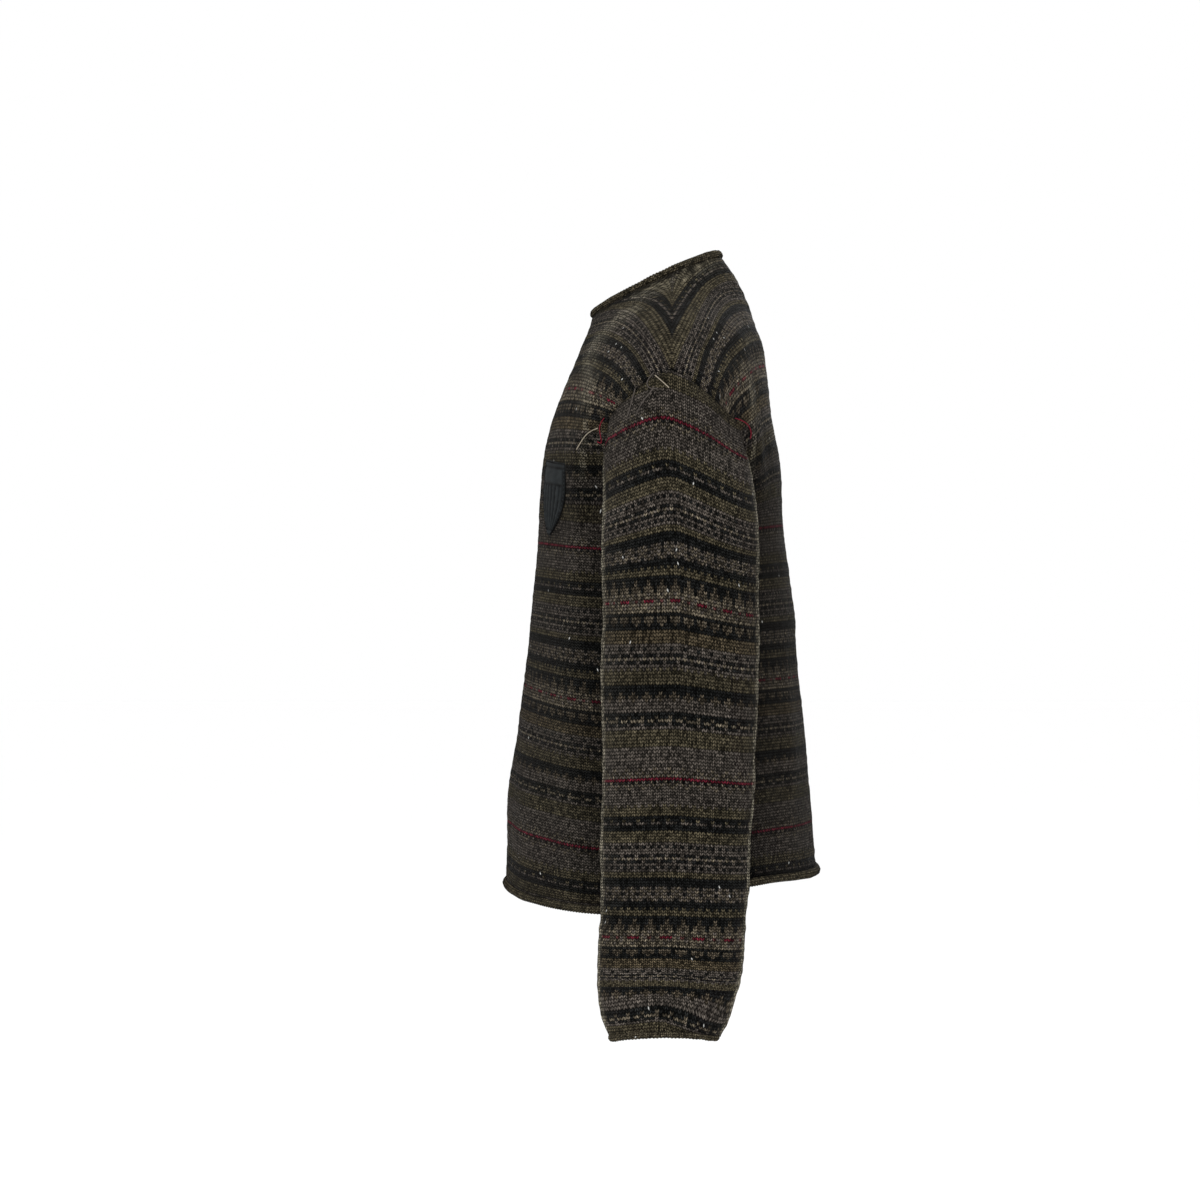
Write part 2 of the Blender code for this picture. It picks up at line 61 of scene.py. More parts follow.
# %% Sections of the body
WALL = 0.003
NECK_PLANE_HEIGHT = -0.0075
NECK_PLANE_SLOPE = 0.48
NECK_LOWEST = -0.080       # the neck opening lies wholly above this height
BODY_COLUMNS = ("height", "half_width", "front_reach", "back_reach", "squareness")
BODY_SECTIONS = (
    (-0.620, 0.2270, 0.1605, 0.1430, 2.20),
    (-0.560, 0.2210, 0.1590, 0.1378, 2.25),
    (-0.500, 0.2130, 0.1570, 0.1325, 2.30),
    (-0.435, 0.2025, 0.1474, 0.1271, 2.40),
    (-0.370, 0.1920, 0.1395, 0.1202, 2.50),
    (-0.310, 0.1830, 0.1340, 0.1145, 2.60),
    (-0.258, 0.1780, 0.1288, 0.1085, 2.60),
    (-0.215, 0.1850, 0.1259, 0.1055, 2.55),
    (-0.180, 0.2010, 0.1222, 0.1020, 2.45),
    (-0.144, 0.2210, 0.1145, 0.0965, 2.30),
    (-0.107, 0.2350, 0.1015, 0.0926, 2.10),
    (-0.092, 0.2250, 0.0946, 0.0912, 2.00),
    (-0.073, 0.2050, 0.0868, 0.0886, 2.00),
    (-0.057, 0.1800, 0.0798, 0.0829, 1.95),
    (-0.044, 0.1500, 0.0757, 0.0786, 1.85),
    (-0.034, 0.1250, 0.0720, 0.0752, 1.75),
    (-0.024, 0.1060, 0.0680, 0.0704, 1.70),
    (-0.012, 0.0915, 0.0625, 0.0646, 1.70),
    (0.000, 0.0805, 0.0560, 0.0569, 1.75),
    (0.025, 0.0620, 0.0420, 0.0370, 1.90),
)

# Each armhole's edge, as far as it lies in front of the side seam and behind it.
ARMHOLE_COLUMNS = ("height", "front", "back")
ARMHOLE_EDGE = (
    (-0.2600, 0.0000, 0.0000),
    (-0.2550, 0.0220, 0.0250),
    (-0.2350, 0.0450, 0.0510),
    (-0.2080, 0.0590, 0.0650),
    (-0.1800, 0.0622, 0.0668),
    (-0.1570, 0.0597, 0.0625),
    (-0.1436, 0.0525, 0.0500),
    (-0.1218, 0.0265, 0.0225),
    (-0.1070, 0.0000, 0.0000),
)

# Soft folds: face, turn, height, half length, half spread, and how far they stand out.
BODY_FOLDS = (
    (-1, 0.86, -0.175, 0.085, 0.11, 0.0050),
    (-1, 1.12, -0.215, 0.070, 0.15, -0.0050),
    (-1, 0.93, -0.330, 0.080, 0.16, 0.0030),
    (-1, 0.55, -0.560, 0.090, 0.20, 0.0030),
    (-1, 1.18, -0.540, 0.110, 0.20, -0.0030),
    (1, 0.76, -0.165, 0.080, 0.12, 0.0050),
    (1, 1.06, -0.205, 0.070, 0.15, -0.0050),
    (1, 0.62, -0.420, 0.120, 0.20, 0.0030),
    (1, 1.10, -0.540, 0.110, 0.22, 0.0030),
)


# %% Read the sections at any height
def column(table, names, name):
    """One named column of a table as an array."""
    return np.array([row[names.index(name)] for row in table])


def read_table(places, values, at):
    """The value at a place between rows, on a cubic that keeps the rows' own slopes."""
    slopes = np.gradient(values, places)
    at = np.clip(at, places[0], places[-1])
    row = np.clip(np.searchsorted(places, at) - 1, 0, len(places) - 2)
    span = places[row + 1] - places[row]
    t = (at - places[row]) / span
    start = values[row] * (1 + 2 * t) * (1 - t) ** 2 + slopes[row] * span * t * (1 - t) ** 2
    end = values[row + 1] * t ** 2 * (3 - 2 * t) - slopes[row + 1] * span * t ** 2 * (1 - t)
    return start + end


def body_value(name, height):
    places = column(BODY_SECTIONS, BODY_COLUMNS, "height")
    return read_table(places, column(BODY_SECTIONS, BODY_COLUMNS, name), height)


def signed_power(value, power):
    return np.sign(value) * np.abs(value) ** power


def hump(distance, half_width):
    """1 on a line, and fading smoothly on both sides of it."""
    return np.exp(-(distance / half_width) ** 2)


def unit(vectors):
    return vectors / np.linalg.norm(vectors, axis=-1, keepdims=True)


def running_length(points):
    steps = np.linalg.norm(np.diff(points, axis=-2), axis=-1)
    return np.concatenate([np.zeros(steps.shape[:-1] + (1,)), np.cumsum(steps, axis=-1)], axis=-1)


def body_point(face, turn, height):
    """A point on the body. face is -1 in front and 1 behind; turn runs from 0 at the middle
    to a quarter turn at the side."""
    half_width = body_value("half_width", height)
    reach = body_value("front_reach" if face < 0 else "back_reach", height)
    power = 2 / body_value("squareness", height)
    x = half_width * signed_power(np.sin(turn), power)
    y = face * reach * signed_power(np.cos(turn), power)
    push = np.zeros_like(x)
    for fold_face, fold_turn, middle, half_length, half_spread, stand in BODY_FOLDS:
        if fold_face == face:
            along = (height - middle) / half_length
            push = push + stand * np.exp(-along ** 2 - ((turn - fold_turn) / half_spread) ** 2)
    return np.stack([x + push * np.sin(turn), y + push * face * np.cos(turn), height + 0 * x], -1)


def body_normal(face, turn, height):
    """The outward direction of the body's surface."""
    step = 0.001
    along = body_point(face, turn + step, height) - body_point(face, turn - step, height)
    up = body_point(face, turn, height + step) - body_point(face, turn, height - step)
    return unit(np.cross(along, up) * -face)


chest_line = np.linspace(0, math.pi / 2, 90), np.full(90, -0.25)
print("round the chest: %.3f m" % sum(
    2 * running_length(body_point(face, *chest_line))[-1] for face in (-1, 1)))

# %% [markdown]
# ## From flat knitting to the worn panel
#
# Courses are the knitted rows. They are counted in repeats of the pattern, down from the dark
# red line on the chest. A table says where a course crosses the middle of the panel, and how
# soon it falls towards its edge, because over the shoulders the rows bend down before they
# meet the armhole. Where a course meets the side seam, the armhole or the shoulder seam, and
# where it starts beside the neck, gives its two ends. Between them, equal widths of knitting
# take equal lengths of the worn row.

# %% Courses of the panels
COURSE_COLUMNS = ("course", "centre_height", "quarter_drop")
FRONT_COURSES = (
    (-0.930, 0.0000, 0.20),
    (-0.800, -0.0440, 0.21),
    (-0.770, -0.0505, 0.25),
    (-0.670, -0.0705, 0.32),
    (-0.540, -0.0990, 0.42),
    (-0.433, -0.1339, 0.50),
    (-0.235, -0.1950, 0.75),
    (0.000, -0.2609, 1.02),
    (0.500, -0.3938, 1.20),
    (1.000, -0.5267, 1.48),
    (1.224, -0.5873, 2.40),
)
BACK_COURSES = (
    (-0.930, 0.0180, 0.45),
    (-0.893, 0.0130, 0.45),
    (-0.850, 0.0030, 0.42),
    (-0.670, -0.0349, 0.36),
    (-0.433, -0.1096, 0.50),
    (-0.235, -0.1688, 0.60),
    (0.000, -0.2444, 0.52),
    (0.500, -0.3855, 0.45),
    (1.000, -0.5267, 0.42),
    (1.170, -0.5750, 0.15),
)
SIDE_COLUMNS = ("course", "side_height")
FRONT_SIDE = ((-0.035, -0.2600), (0.000, -0.2690), (1.000, -0.5390), (1.224, -0.5925))
BACK_SIDE = ((-0.035, -0.2600), (0.000, -0.2690), (1.000, -0.5390), (1.170, -0.5925))
UNDERARM_COURSE = -0.035
SHOULDER_TIP_COURSE = -0.796

# Where a course meets the armhole, as a share of its edge from the underarm to the tip.
ARMHOLE_MEETING = (
    (-0.796, 1.00), (-0.615, 0.84), (-0.530, 0.75), (-0.476, 0.70),
    (-0.222, 0.39), (-0.145, 0.29), (-0.080, 0.15), (-0.035, 0.00),
)
NECK_POINT_COURSE = -0.93
FRONT_NECK_COURSE = -0.80
BACK_NECK_COURSE = -0.893
SHOULDER_TIP_HEIGHT = -0.107
NECK_SHARE = 0.375
FRONT_NECK_FAN = (0.75, 14)        # slope of the fan at the middle, and its power
BACK_NECK_FAN = (1.50, 3)
FALL_SHARE = 0.78
COURSE_SAMPLES = 49


# %% The map of a panel
def armhole_edge(face):
    """Turn and height along an armhole's edge at even steps, from the underarm to the tip."""
    rows = np.arange(len(ARMHOLE_EDGE), dtype=float)
    fine = np.linspace(0, rows[-1], 400)
    height = read_table(rows, column(ARMHOLE_EDGE, ARMHOLE_COLUMNS, "height"), fine)
    name = "front" if face < 0 else "back"
    offset = np.maximum(read_table(rows, column(ARMHOLE_EDGE, ARMHOLE_COLUMNS, name), fine), 0)
    reach = body_value("front_reach" if face < 0 else "back_reach", height)
    turn = np.arccos((offset / reach) ** (body_value("squareness", height) / 2))
    turn[[0, -1]] = math.pi / 2
    length = running_length(body_point(face, turn, height))
    return turn, height, length / length[-1]


def neck_plane(y):
    """The height of the sloping plane of the neck opening."""
    return NECK_PLANE_HEIGHT + NECK_PLANE_SLOPE * y


def neck_height(face, turn):
    """Where the sloping neck plane crosses the body's surface, found by halving."""
    low = np.full_like(turn, NECK_LOWEST)
    high = np.full_like(turn, BODY_SECTIONS[-1][0])
    for _ in range(40):
        middle = (low + high) / 2
        above = middle > neck_plane(body_point(face, turn, middle)[..., 1])
        high = np.where(above, middle, high)
        low = np.where(above, low, middle)
    return low


class Panel:
    """The front or the back, as a map from the flat panel to the worn one."""

    def __init__(self, face):
        self.face = face
        courses = FRONT_COURSES if face < 0 else BACK_COURSES
        side = FRONT_SIDE if face < 0 else BACK_SIDE
        self.course = column(courses, COURSE_COLUMNS, "course")
        self.centre = column(courses, COURSE_COLUMNS, "centre_height")
        self.drop = column(courses, COURSE_COLUMNS, "quarter_drop")
        self.side_course = column(side, SIDE_COLUMNS, "course")
        self.side_height = column(side, SIDE_COLUMNS, "side_height")
        self.neck_course = FRONT_NECK_COURSE if face < 0 else BACK_NECK_COURSE
        self.neck_fan = FRONT_NECK_FAN if face < 0 else BACK_NECK_FAN
        self.hem_course = self.course[-1]
        self.arm_turn, self.arm_height, self.arm_share = armhole_edge(face)
        self.ridge_height = np.linspace(SHOULDER_TIP_HEIGHT, NECK_PLANE_HEIGHT, 200)
        ridge = np.stack([body_value("half_width", self.ridge_height), self.ridge_height], -1)
        self.ridge_share = running_length(ridge) / running_length(ridge)[-1]

    def top_course(self, across):
        """The course at the neck edge or the shoulder seam, for a share of the half width."""
        near_neck = np.sqrt(np.maximum(1 - (across / NECK_SHARE) ** 2, 0))
        neck = NECK_POINT_COURSE + (self.neck_course - NECK_POINT_COURSE) * near_neck
        along = (across - NECK_SHARE) / (1 - NECK_SHARE)
        shoulder = NECK_POINT_COURSE + (SHOULDER_TIP_COURSE - NECK_POINT_COURSE) * along
        return np.where(across < NECK_SHARE, neck, shoulder)

    def edge(self, course):
        """Turn and height where a course meets the side seam, the armhole or the shoulder."""
        arm = np.interp(course, *np.array(ARMHOLE_MEETING).T)
        ridge = (SHOULDER_TIP_COURSE - course) / (SHOULDER_TIP_COURSE - NECK_POINT_COURSE)
        below = course >= UNDERARM_COURSE
        above = course <= SHOULDER_TIP_COURSE
        turn = np.where(below | above, math.pi / 2, np.interp(arm, self.arm_share, self.arm_turn))
        height = np.interp(arm, self.arm_share, self.arm_height)
        height = np.where(below, read_table(self.side_course, self.side_height, course), height)
        return turn, np.where(above, np.interp(ridge, self.ridge_share, self.ridge_height), height)

    def start(self, course):
        """Turn, height and share of the half width where a course leaves the middle or neck."""
        rise = (course - NECK_POINT_COURSE) / (self.neck_course - NECK_POINT_COURSE)
        side = np.sqrt(np.maximum(1 - np.clip(rise, 0, 1) ** 2, 0))
        slope, power = self.neck_fan
        turn = slope * side + (math.pi / 2 - slope) * side ** power
        centre = read_table(self.course, self.centre, course)
        height = np.where(course < self.neck_course, neck_height(self.face, turn), centre)
        return turn, height, NECK_SHARE * side

    def path(self, course):
        """Each course's ends, and its length at even shares of the turn between them."""
        start_turn, start_height, start_share = self.start(course)
        edge_turn, edge_height = self.edge(course)
        drop = read_table(self.course, self.drop, course)
        fourth = (FALL_SHARE ** 2 - drop) / (FALL_SHARE ** 2 - FALL_SHARE ** 4)
        q = np.linspace(0, 1, COURSE_SAMPLES)
        fall = (1 - fourth)[:, None] * q ** 2 + fourth[:, None] * q ** 4
        turn = start_turn[:, None] + (edge_turn - start_turn)[:, None] * q
        height = start_height[:, None] + (edge_height - start_height)[:, None] * fall
        length = running_length(body_point(self.face, turn, height))
        ends = (start_turn, start_height, start_share, edge_turn, edge_height, fourth)
        return ends, q, length

    def place(self, across, course):
        """Turn and height of a point of the flat panel once it is worn."""
        ends, q, length = self.path(course)
        start_turn, start_height, start_share, edge_turn, edge_height, fourth = ends
        shoulder = (course - NECK_POINT_COURSE) / (SHOULDER_TIP_COURSE - NECK_POINT_COURSE)
        end_share = NECK_SHARE + (1 - NECK_SHARE) * np.clip(shoulder, 0, 1)
        share = np.clip((across - start_share) / np.maximum(end_share - start_share, 1e-6), 0, 1)
        wanted = share * length[:, -1]
        at = np.array([np.interp(w, row, q) for w, row in zip(wanted, length)])
        fall_at = (1 - fourth) * at ** 2 + fourth * at ** 4
        return (start_turn + (edge_turn - start_turn) * at,
                start_height + (edge_height - start_height) * fall_at)

    def surface(self, across, course):
        """Worn points and outward directions; across is negative on the right half."""
        turn, height = self.place(np.abs(across), course)
        point = body_point(self.face, turn, height)
        normal = body_normal(self.face, turn, height)
        mirror = np.where(across < 0, -1.0, 1.0)
        point[:, 0] *= mirror
        normal[:, 0] *= mirror
        return point, normal


front_map = Panel(-1)
back_map = Panel(1)
print("front armhole: %.3f m" % running_length(
    body_point(-1, front_map.arm_turn, front_map.arm_height))[-1])

# %% [markdown]
# ## The map of a sleeve
#
# The sleeve is a tube that hangs flat beside the body. It could be a straight cylinder, but
# its top has to fit the armhole, so its first ring is the armhole's own edge and the tube
# comes to its own flat sections over the first fifth of its length. The knitted rows arch
# over the shoulder and come level lower down, as they do when a flat cap is sewn in.

# %% Sections of the sleeve
SLEEVE_COLUMNS = ("height", "centre_x", "half_depth", "centre_y", "half_width")
SLEEVE_SECTIONS = (
    (-0.720, 0.2700, 0.0262, -0.0078, 0.0450),
    (-0.711, 0.2700, 0.0272, -0.0072, 0.0486),
    (-0.6965, 0.2695, 0.0285, -0.0058, 0.0554),
    (-0.6695, 0.2690, 0.0300, -0.0040, 0.0608),
    (-0.6425, 0.2680, 0.0312, -0.0018, 0.0631),
    (-0.580, 0.2640, 0.0325, 0.0025, 0.0652),
    (-0.480, 0.2530, 0.0345, 0.0054, 0.0677),
    (-0.4086, 0.2420, 0.0355, 0.0067, 0.0692),
    (-0.318, 0.2290, 0.0360, 0.0075, 0.0696),
    (-0.2328, 0.2250, 0.0355, 0.0068, 0.0684),
    (-0.180, 0.2215, 0.0350, 0.0025, 0.0640),
    (-0.144, 0.2160, 0.0330, 0.0010, 0.0570),
    (-0.107, 0.2040, 0.0310, 0.0000, 0.0450),
)
SLEEVE_END = -0.7045
SLEEVE_TOP_TILT = 0.151
SLEEVE_TILT_SHARE = 0.55
SLEEVE_TILT_EASE = 1.6
SLEEVE_SEAM_SHARE = 0.20
SLEEVE_FLATNESS = 0.5
CUFF_ARCH = 0.006
SEAM_LIFT = 0.0004

# Where the sleeve's courses cross its outer middle line.
SLEEVE_COURSES = (
    (-0.140, -0.107), (0.000, -0.150), (1.000, -0.476), (1.437, -0.598), (1.543, -0.6265),
    (1.606, -0.640), (1.655, -0.651), (1.770, -0.666), (1.810, -0.6755), (1.846, -0.689),
    (1.875, -0.696), (1.915, -0.7085),
)

# How far a course falls from the sleeve's outer middle to its front and back folds.
ARCH_COLUMNS = ("height", "front", "back")
SLEEVE_ARCHES = (
    (-0.720, 0.0060, 0.0150),
    (-0.693, 0.0080, 0.0200),
    (-0.682, 0.0090, 0.0130),
    (-0.669, 0.0030, 0.0058),
    (-0.640, 0.0020, 0.0050),
    (-0.600, 0.0010, 0.0030),
    (-0.476, 0.0040, 0.0060),
    (-0.390, 0.0020, 0.0100),
    (-0.340, 0.0015, 0.0130),
    (-0.300, 0.0050, 0.0170),
    (-0.265, 0.0170, 0.0270),
    (-0.235, 0.0220, 0.0310),
    (-0.200, 0.0240, 0.0340),
    (-0.150, 0.0280, 0.0380),
)
UNDERARM_ARCH = 0.060      # how much further it falls from the folds to the underarm, at the top
UNDERARM_ARCH_HEIGHTS = (-0.420, -0.150)
ARCH_ROUNDING = 0.15
ARCH_SHIFT = 0.025         # share of the way round by which the arch's top lies to the front
FRONT_FOLD = 0.25          # shares of the way round, from the outer middle line to the folds
BACK_FOLD = 0.75


# %% The tube
def sleeve_value(name, height):
    places = column(SLEEVE_SECTIONS, SLEEVE_COLUMNS, "height")
    return read_table(places, column(SLEEVE_SECTIONS, SLEEVE_COLUMNS, name), height)


def sleeve_turn(round_share):
    """The turn at a share of the way round, from the outer middle towards the front."""
    fine = np.linspace(0, 2 * math.pi, 721)
    length = running_length(np.stack([SLEEVE_FLATNESS * np.cos(fine), np.sin(fine)], -1))
    return np.interp(np.mod(round_share, 1), length / length[-1], fine)


def armhole_ring(round_share):
    """The left armhole's edge, from the shoulder tip down the front and up the back."""
    round_share = np.mod(round_share, 1)
    points = []
    for panel, share in ((front_map, 1 - 2 * round_share), (back_map, 2 * round_share - 1)):
        turn = np.interp(share, panel.arm_share, panel.arm_turn)
        height = np.interp(share, panel.arm_share, panel.arm_height)
        normal = body_normal(panel.face, turn, height)
        points.append(body_point(panel.face, turn, height) + SEAM_LIFT * normal)
    return np.where((round_share <= 0.5)[:, None], points[0], points[1])


def own_point(turn, height):
    """A point on the hanging sleeve's own outer surface, on the wearer's left."""
    x = sleeve_value("centre_x", height) + sleeve_value("half_depth", height) * np.cos(turn)
    y = sleeve_value("centre_y", height) - sleeve_value("half_width", height) * np.sin(turn)
    return np.stack([x, y, height], axis=-1)


def sleeve_point(round_share, share):
    """A point of the sleeve at shares of the way round it and of the way down it."""
    turn = sleeve_turn(round_share)
    low_side = (1 - np.cos(2 * math.pi * round_share)) / 2

    def own(down):
        tilt = SLEEVE_TOP_TILT * (1 - np.clip(down / SLEEVE_TILT_SHARE, 0, 1)) ** SLEEVE_TILT_EASE
        height = SHOULDER_TIP_HEIGHT + (SLEEVE_END - SHOULDER_TIP_HEIGHT) * down - tilt * low_side
        return own_point(turn, height - CUFF_ARCH * np.sin(turn) ** 2 * down ** 4)

    near = np.clip(1 - share / SLEEVE_SEAM_SHARE, 0, 1)
    blend = (near ** 2 * (3 - 2 * near))[:, None]
    return own(share) + blend * (armhole_ring(round_share) - own(0 * share))


def course_fall(line, height):
    """How far a course falls at a share of the way round: like a tent over the outer side."""
    line = line % 1
    fold = np.interp(height, column(SLEEVE_ARCHES, ARCH_COLUMNS, "height"),
                     column(SLEEVE_ARCHES, ARCH_COLUMNS, "front" if line < 0.5 else "back"))
    if FRONT_FOLD < line < BACK_FOLD:
        to_fold = abs(math.sin(float(sleeve_turn(line))))
        return fold + UNDERARM_ARCH * (1 - to_fold) * np.interp(
            height, UNDERARM_ARCH_HEIGHTS, (0, 1))
    to_fold = abs(math.sin(float(sleeve_turn(line - ARCH_SHIFT))))
    ridge = math.hypot(to_fold, ARCH_ROUNDING) - ARCH_ROUNDING
    return fold * ridge / (math.hypot(1, ARCH_ROUNDING) - ARCH_ROUNDING)


FALL_LINES = 160


def sleeve_share(round_share, course):
    """How far down the sleeve a course crosses a line along it, read between spaced lines."""
    at_course, at_height = np.array(SLEEVE_COURSES).T
    wanted = np.interp(course, at_course, at_height)
    down = np.linspace(0, 1, 300)
    place = np.mod(round_share, 1) * FALL_LINES
    lower = np.floor(place).astype(int) % FALL_LINES
    found = np.zeros_like(course)
    for line in range(FALL_LINES):
        height = sleeve_point(np.full_like(down, line / FALL_LINES), down)[:, 2]
        level = np.minimum.accumulate(height + course_fall(line / FALL_LINES, height))
        for near, weight in ((lower == line, 1 - place % 1),
                             ((lower + 1) % FALL_LINES == line, place % 1)):
            found[near] += weight[near] * np.interp(-wanted[near], -level, down)
    return found


print("cuff round: %.3f m" % running_length(
    sleeve_point(np.linspace(0, 1, 90), np.full(90, 1.0)))[-1])

# %% [markdown]
# ## The knitting chart
#
# Fair isle knitting carries two yarns along each row and swaps them by the stitch, so its
# pattern is drawn on squared paper. The chart below gives one repeat, from the dark red line
# downwards, eight stitches wide. Each line is how many rows it stands for and its stitches:
# o olive, g grey, b brown, k black, n and t two tans, c cream, r dark red and q a faint red.

# %% The chart
CHART = (
    (1, "rrrrrrrr"),
    (1, "kgktkgkt"),
    (1, "tgtgtgtg"),
    (1, "gtgggtgg"),
    (5, "gggggggg"),
    (1, "gogogogo"),
    (3, "oooooooo"),
    (1, "kkkkkkkk"),
    (1, "kkokkkok"),
    (1, "gggkgggk"),
    (2, "kkkkkkkk"),
    (4, "oooooooo"),
    (1, "gggggggg"),
    (1, "kgkgkgkg"),
    (2, "gggggggg"),
    (1, "kkgkkkgk"),
    (1, "cgcgcgcg"),
    (1, "gkkkgkkk"),
    (1, "gggggggg"),
    (1, "gkgkgkgk"),
    (1, "gggggggg"),
    (2, "oooooooo"),
    (3, "kkkkkkkk"),
    (1, "gkgtgkgt"),
    (1, "tgtgtgtg"),
    (1, "gkgtgkgt"),
    (1, "tgtgtgtg"),
    (1, "gtgkgtgk"),
    (2, "kkkkkkkk"),
    (1, "kokokoko"),
    (2, "oooooooo"),
    (1, "kkkkkkkk"),
    (2, "knkkknkk"),
    (1, "nnnknnnk"),
    (1, "tntktntk"),
    (1, "cgctcgct"),
    (1, "tctgtctg"),
    (1, "rrrtgqgt"),
    (1, "gtctgtct"),
    (1, "tgctctgc"),
    (1, "cctcccct"),
    (1, "kkkkkkkk"),
    (1, "tntktntk"),
    (1, "nnnknnnk"),
    (1, "knkkknkk"),
    (1, "kkkkkkkk"),
    (4, "bbbbbbbb"),
    (1, "gggggggg"),
    (1, "ggkgggkg"),
    (1, "gggggggg"),
    (1, "kkgkkkgk"),
    (1, "cgcgcgcg"),
    (1, "gkkkgkkk"),
    (1, "gggggggg"),
    (1, "gogogogo"),
    (4, "oooooooo"),
    (2, "kkkkkkkk"),
    (1, "knkkknkk"),
    (1, "nnnknnnk"),
    (1, "gngggngg"),
    (3, "gggggggg"),
    (1, "kkkkkkkk"),
    (1, "kktkkktk"),
    (1, "cktcctkc"),
    (1, "kkgkkkgk"),
    (1, "gggggggg"),
    (5, "oooooooo"),
    (6, "gggggggg"),
    (1, "ggtgggtg"),
    (1, "gtgtgtgt"),
    (1, "tgtgtgtg"),
)
chart = [stitches for rows, stitches in CHART for _ in range(rows)]
REPEAT_ROWS = len(chart)
REPEAT_WALES = 8
WALE_WIDTH = 0.0033
print("rows in a repeat:", REPEAT_ROWS)

# %% [markdown]
# ## Yarn colours
#
# Wool yarn is never one flat colour. Each shade below is what one stitch looks like in plain
# light, and each stitch then gets its own strength, with a slower drift along the row where
# the strands thicken and thin. The colours are kept on the mesh, as an attribute, because
# they follow the knitting and not the space round it. Letter d is the drab of the rolls.

# %% Shades of yarn
SHADES = {
    "o": (0.0225, 0.0190, 0.0120),
    "b": (0.0235, 0.0185, 0.0115),
    "g": (0.0255, 0.0218, 0.0185),
    "k": (0.0034, 0.0035, 0.0034),
    "n": (0.0215, 0.0175, 0.0125),
    "t": (0.0300, 0.0250, 0.0180),
    "c": (0.0440, 0.0370, 0.0265),
    "r": (0.0360, 0.0042, 0.0075),
    "q": (0.0230, 0.0090, 0.0085),
    "d": (0.0290, 0.0245, 0.0160),
}
# The pale colour of rubbed wool, which also paints a highlight on ridges and folds.
WORN_AND_HIGHLIGHT_SHADE = (0.095, 0.086, 0.065)
STITCH_STRENGTH = 0.14
AREA_STRENGTH = 0.10
DRIFT_STRENGTH = 0.20
LEAST_STRENGTH = 0.3


def stitch_shade(letter, wale, row, chance):
    """The colour of one stitch, as red, green and blue."""
    drift = noise.noise(Vector((wale / 9.0, row / 1.3, 7.0)))
    area = noise.noise(Vector((wale / 45.0, row / 38.0, 31.0)))
    strength = 1 + STITCH_STRENGTH * chance + DRIFT_STRENGTH * drift + AREA_STRENGTH * area
    return np.maximum(strength, LEAST_STRENGTH) * np.array(SHADES[letter])


def chart_letter(wale, row):
    """The chart's letter for a stitch; rows are counted upwards from the red line's lower edge."""
    return chart[(-row - 1) % REPEAT_ROWS][wale % REPEAT_WALES]


# %% [markdown]
# ## The wool material
#
# A knitted stitch shows as a V: two legs that slant up from its middle. Modelling every
# strand would take millions of faces, so each stitch is one face, and the material draws the
# V inside it from the stitch's own coordinates: u counts stitches across and v counts rows.
# The row's edge dips in the middle of each stitch, so the colour of the stitch above comes
# down to a point there. The same numbers give the legs their round height for the bump,
# painted shade in the gaps between them and a painted highlight along them. Wool scatters
# light at a grazing angle, which sheen gives.

# %% Small helpers for shader nodes
def calculate(tree, operation, first, second=None):
    """A Math node's output; inputs are sockets or numbers."""
    node = tree.nodes.new("ShaderNodeMath")
    node.operation = operation
    for place, value in enumerate((first, second)):
        if value is None:
            continue
        if isinstance(value, bpy.types.NodeSocket):
            tree.links.new(value, node.inputs[place])
        else:
            node.inputs[place].default_value = value
    return node.outputs[0]


def mix_colours(tree, share, first, second, blend="MIX"):
    node = tree.nodes.new("ShaderNodeMix")
    node.data_type = "RGBA"
    node.blend_type = blend
    for name, value in ((0, share), (6, first), (7, second)):
        if isinstance(value, bpy.types.NodeSocket):
            tree.links.new(value, node.inputs[name])
        else:
            node.inputs[name].default_value = value
    return node.outputs[2]


def noise_value(tree, scale, detail):
    """A noise on the piece's own coordinates, in features per metre."""
    place = tree.nodes.new("ShaderNodeTexCoord")
    texture = tree.nodes.new("ShaderNodeTexNoise")
    texture.inputs["Scale"].default_value = scale
    texture.inputs["Detail"].default_value = detail
    tree.links.new(place.outputs["Object"], texture.inputs["Vector"])
    return texture.outputs["Fac"]


def ranged(tree, value, low, high):
    """A value from 0 to 1 spread between low and high."""
    return calculate(tree, "ADD", calculate(tree, "MULTIPLY", value, high - low), low)


def corner_colour(tree, layer):
    """The colours that a piece's corners hold under this name."""
    node = tree.nodes.new("ShaderNodeVertexColor")
    node.layer_name = layer
    return node.outputs["Color"]


def grey(tree, value):
    """A colour with one value for red, green and blue."""
    node = tree.nodes.new("ShaderNodeCombineColor")
    for place in range(3):
        tree.links.new(value, node.inputs[place])
    return node.outputs[0]


def bumped(tree, height, distance, strength):
    """A surface direction that follows a height, for the light only."""
    bump = tree.nodes.new("ShaderNodeBump")
    bump.inputs["Strength"].default_value = strength
    bump.inputs["Distance"].default_value = distance
    tree.links.new(height, bump.inputs["Height"])
    return bump.outputs[0]


# %% The knitted wool
NEP_SHADE = (0.40, 0.40, 0.38, 1)
NEP_SHARE = 0.0002         # of the stitch legs in pale yarn
DARK_NEP_SHARE = 0.0024    # of those in yarn whose red is below DARK_YARN
DARK_YARN = 0.010
SHEEN = 0.015


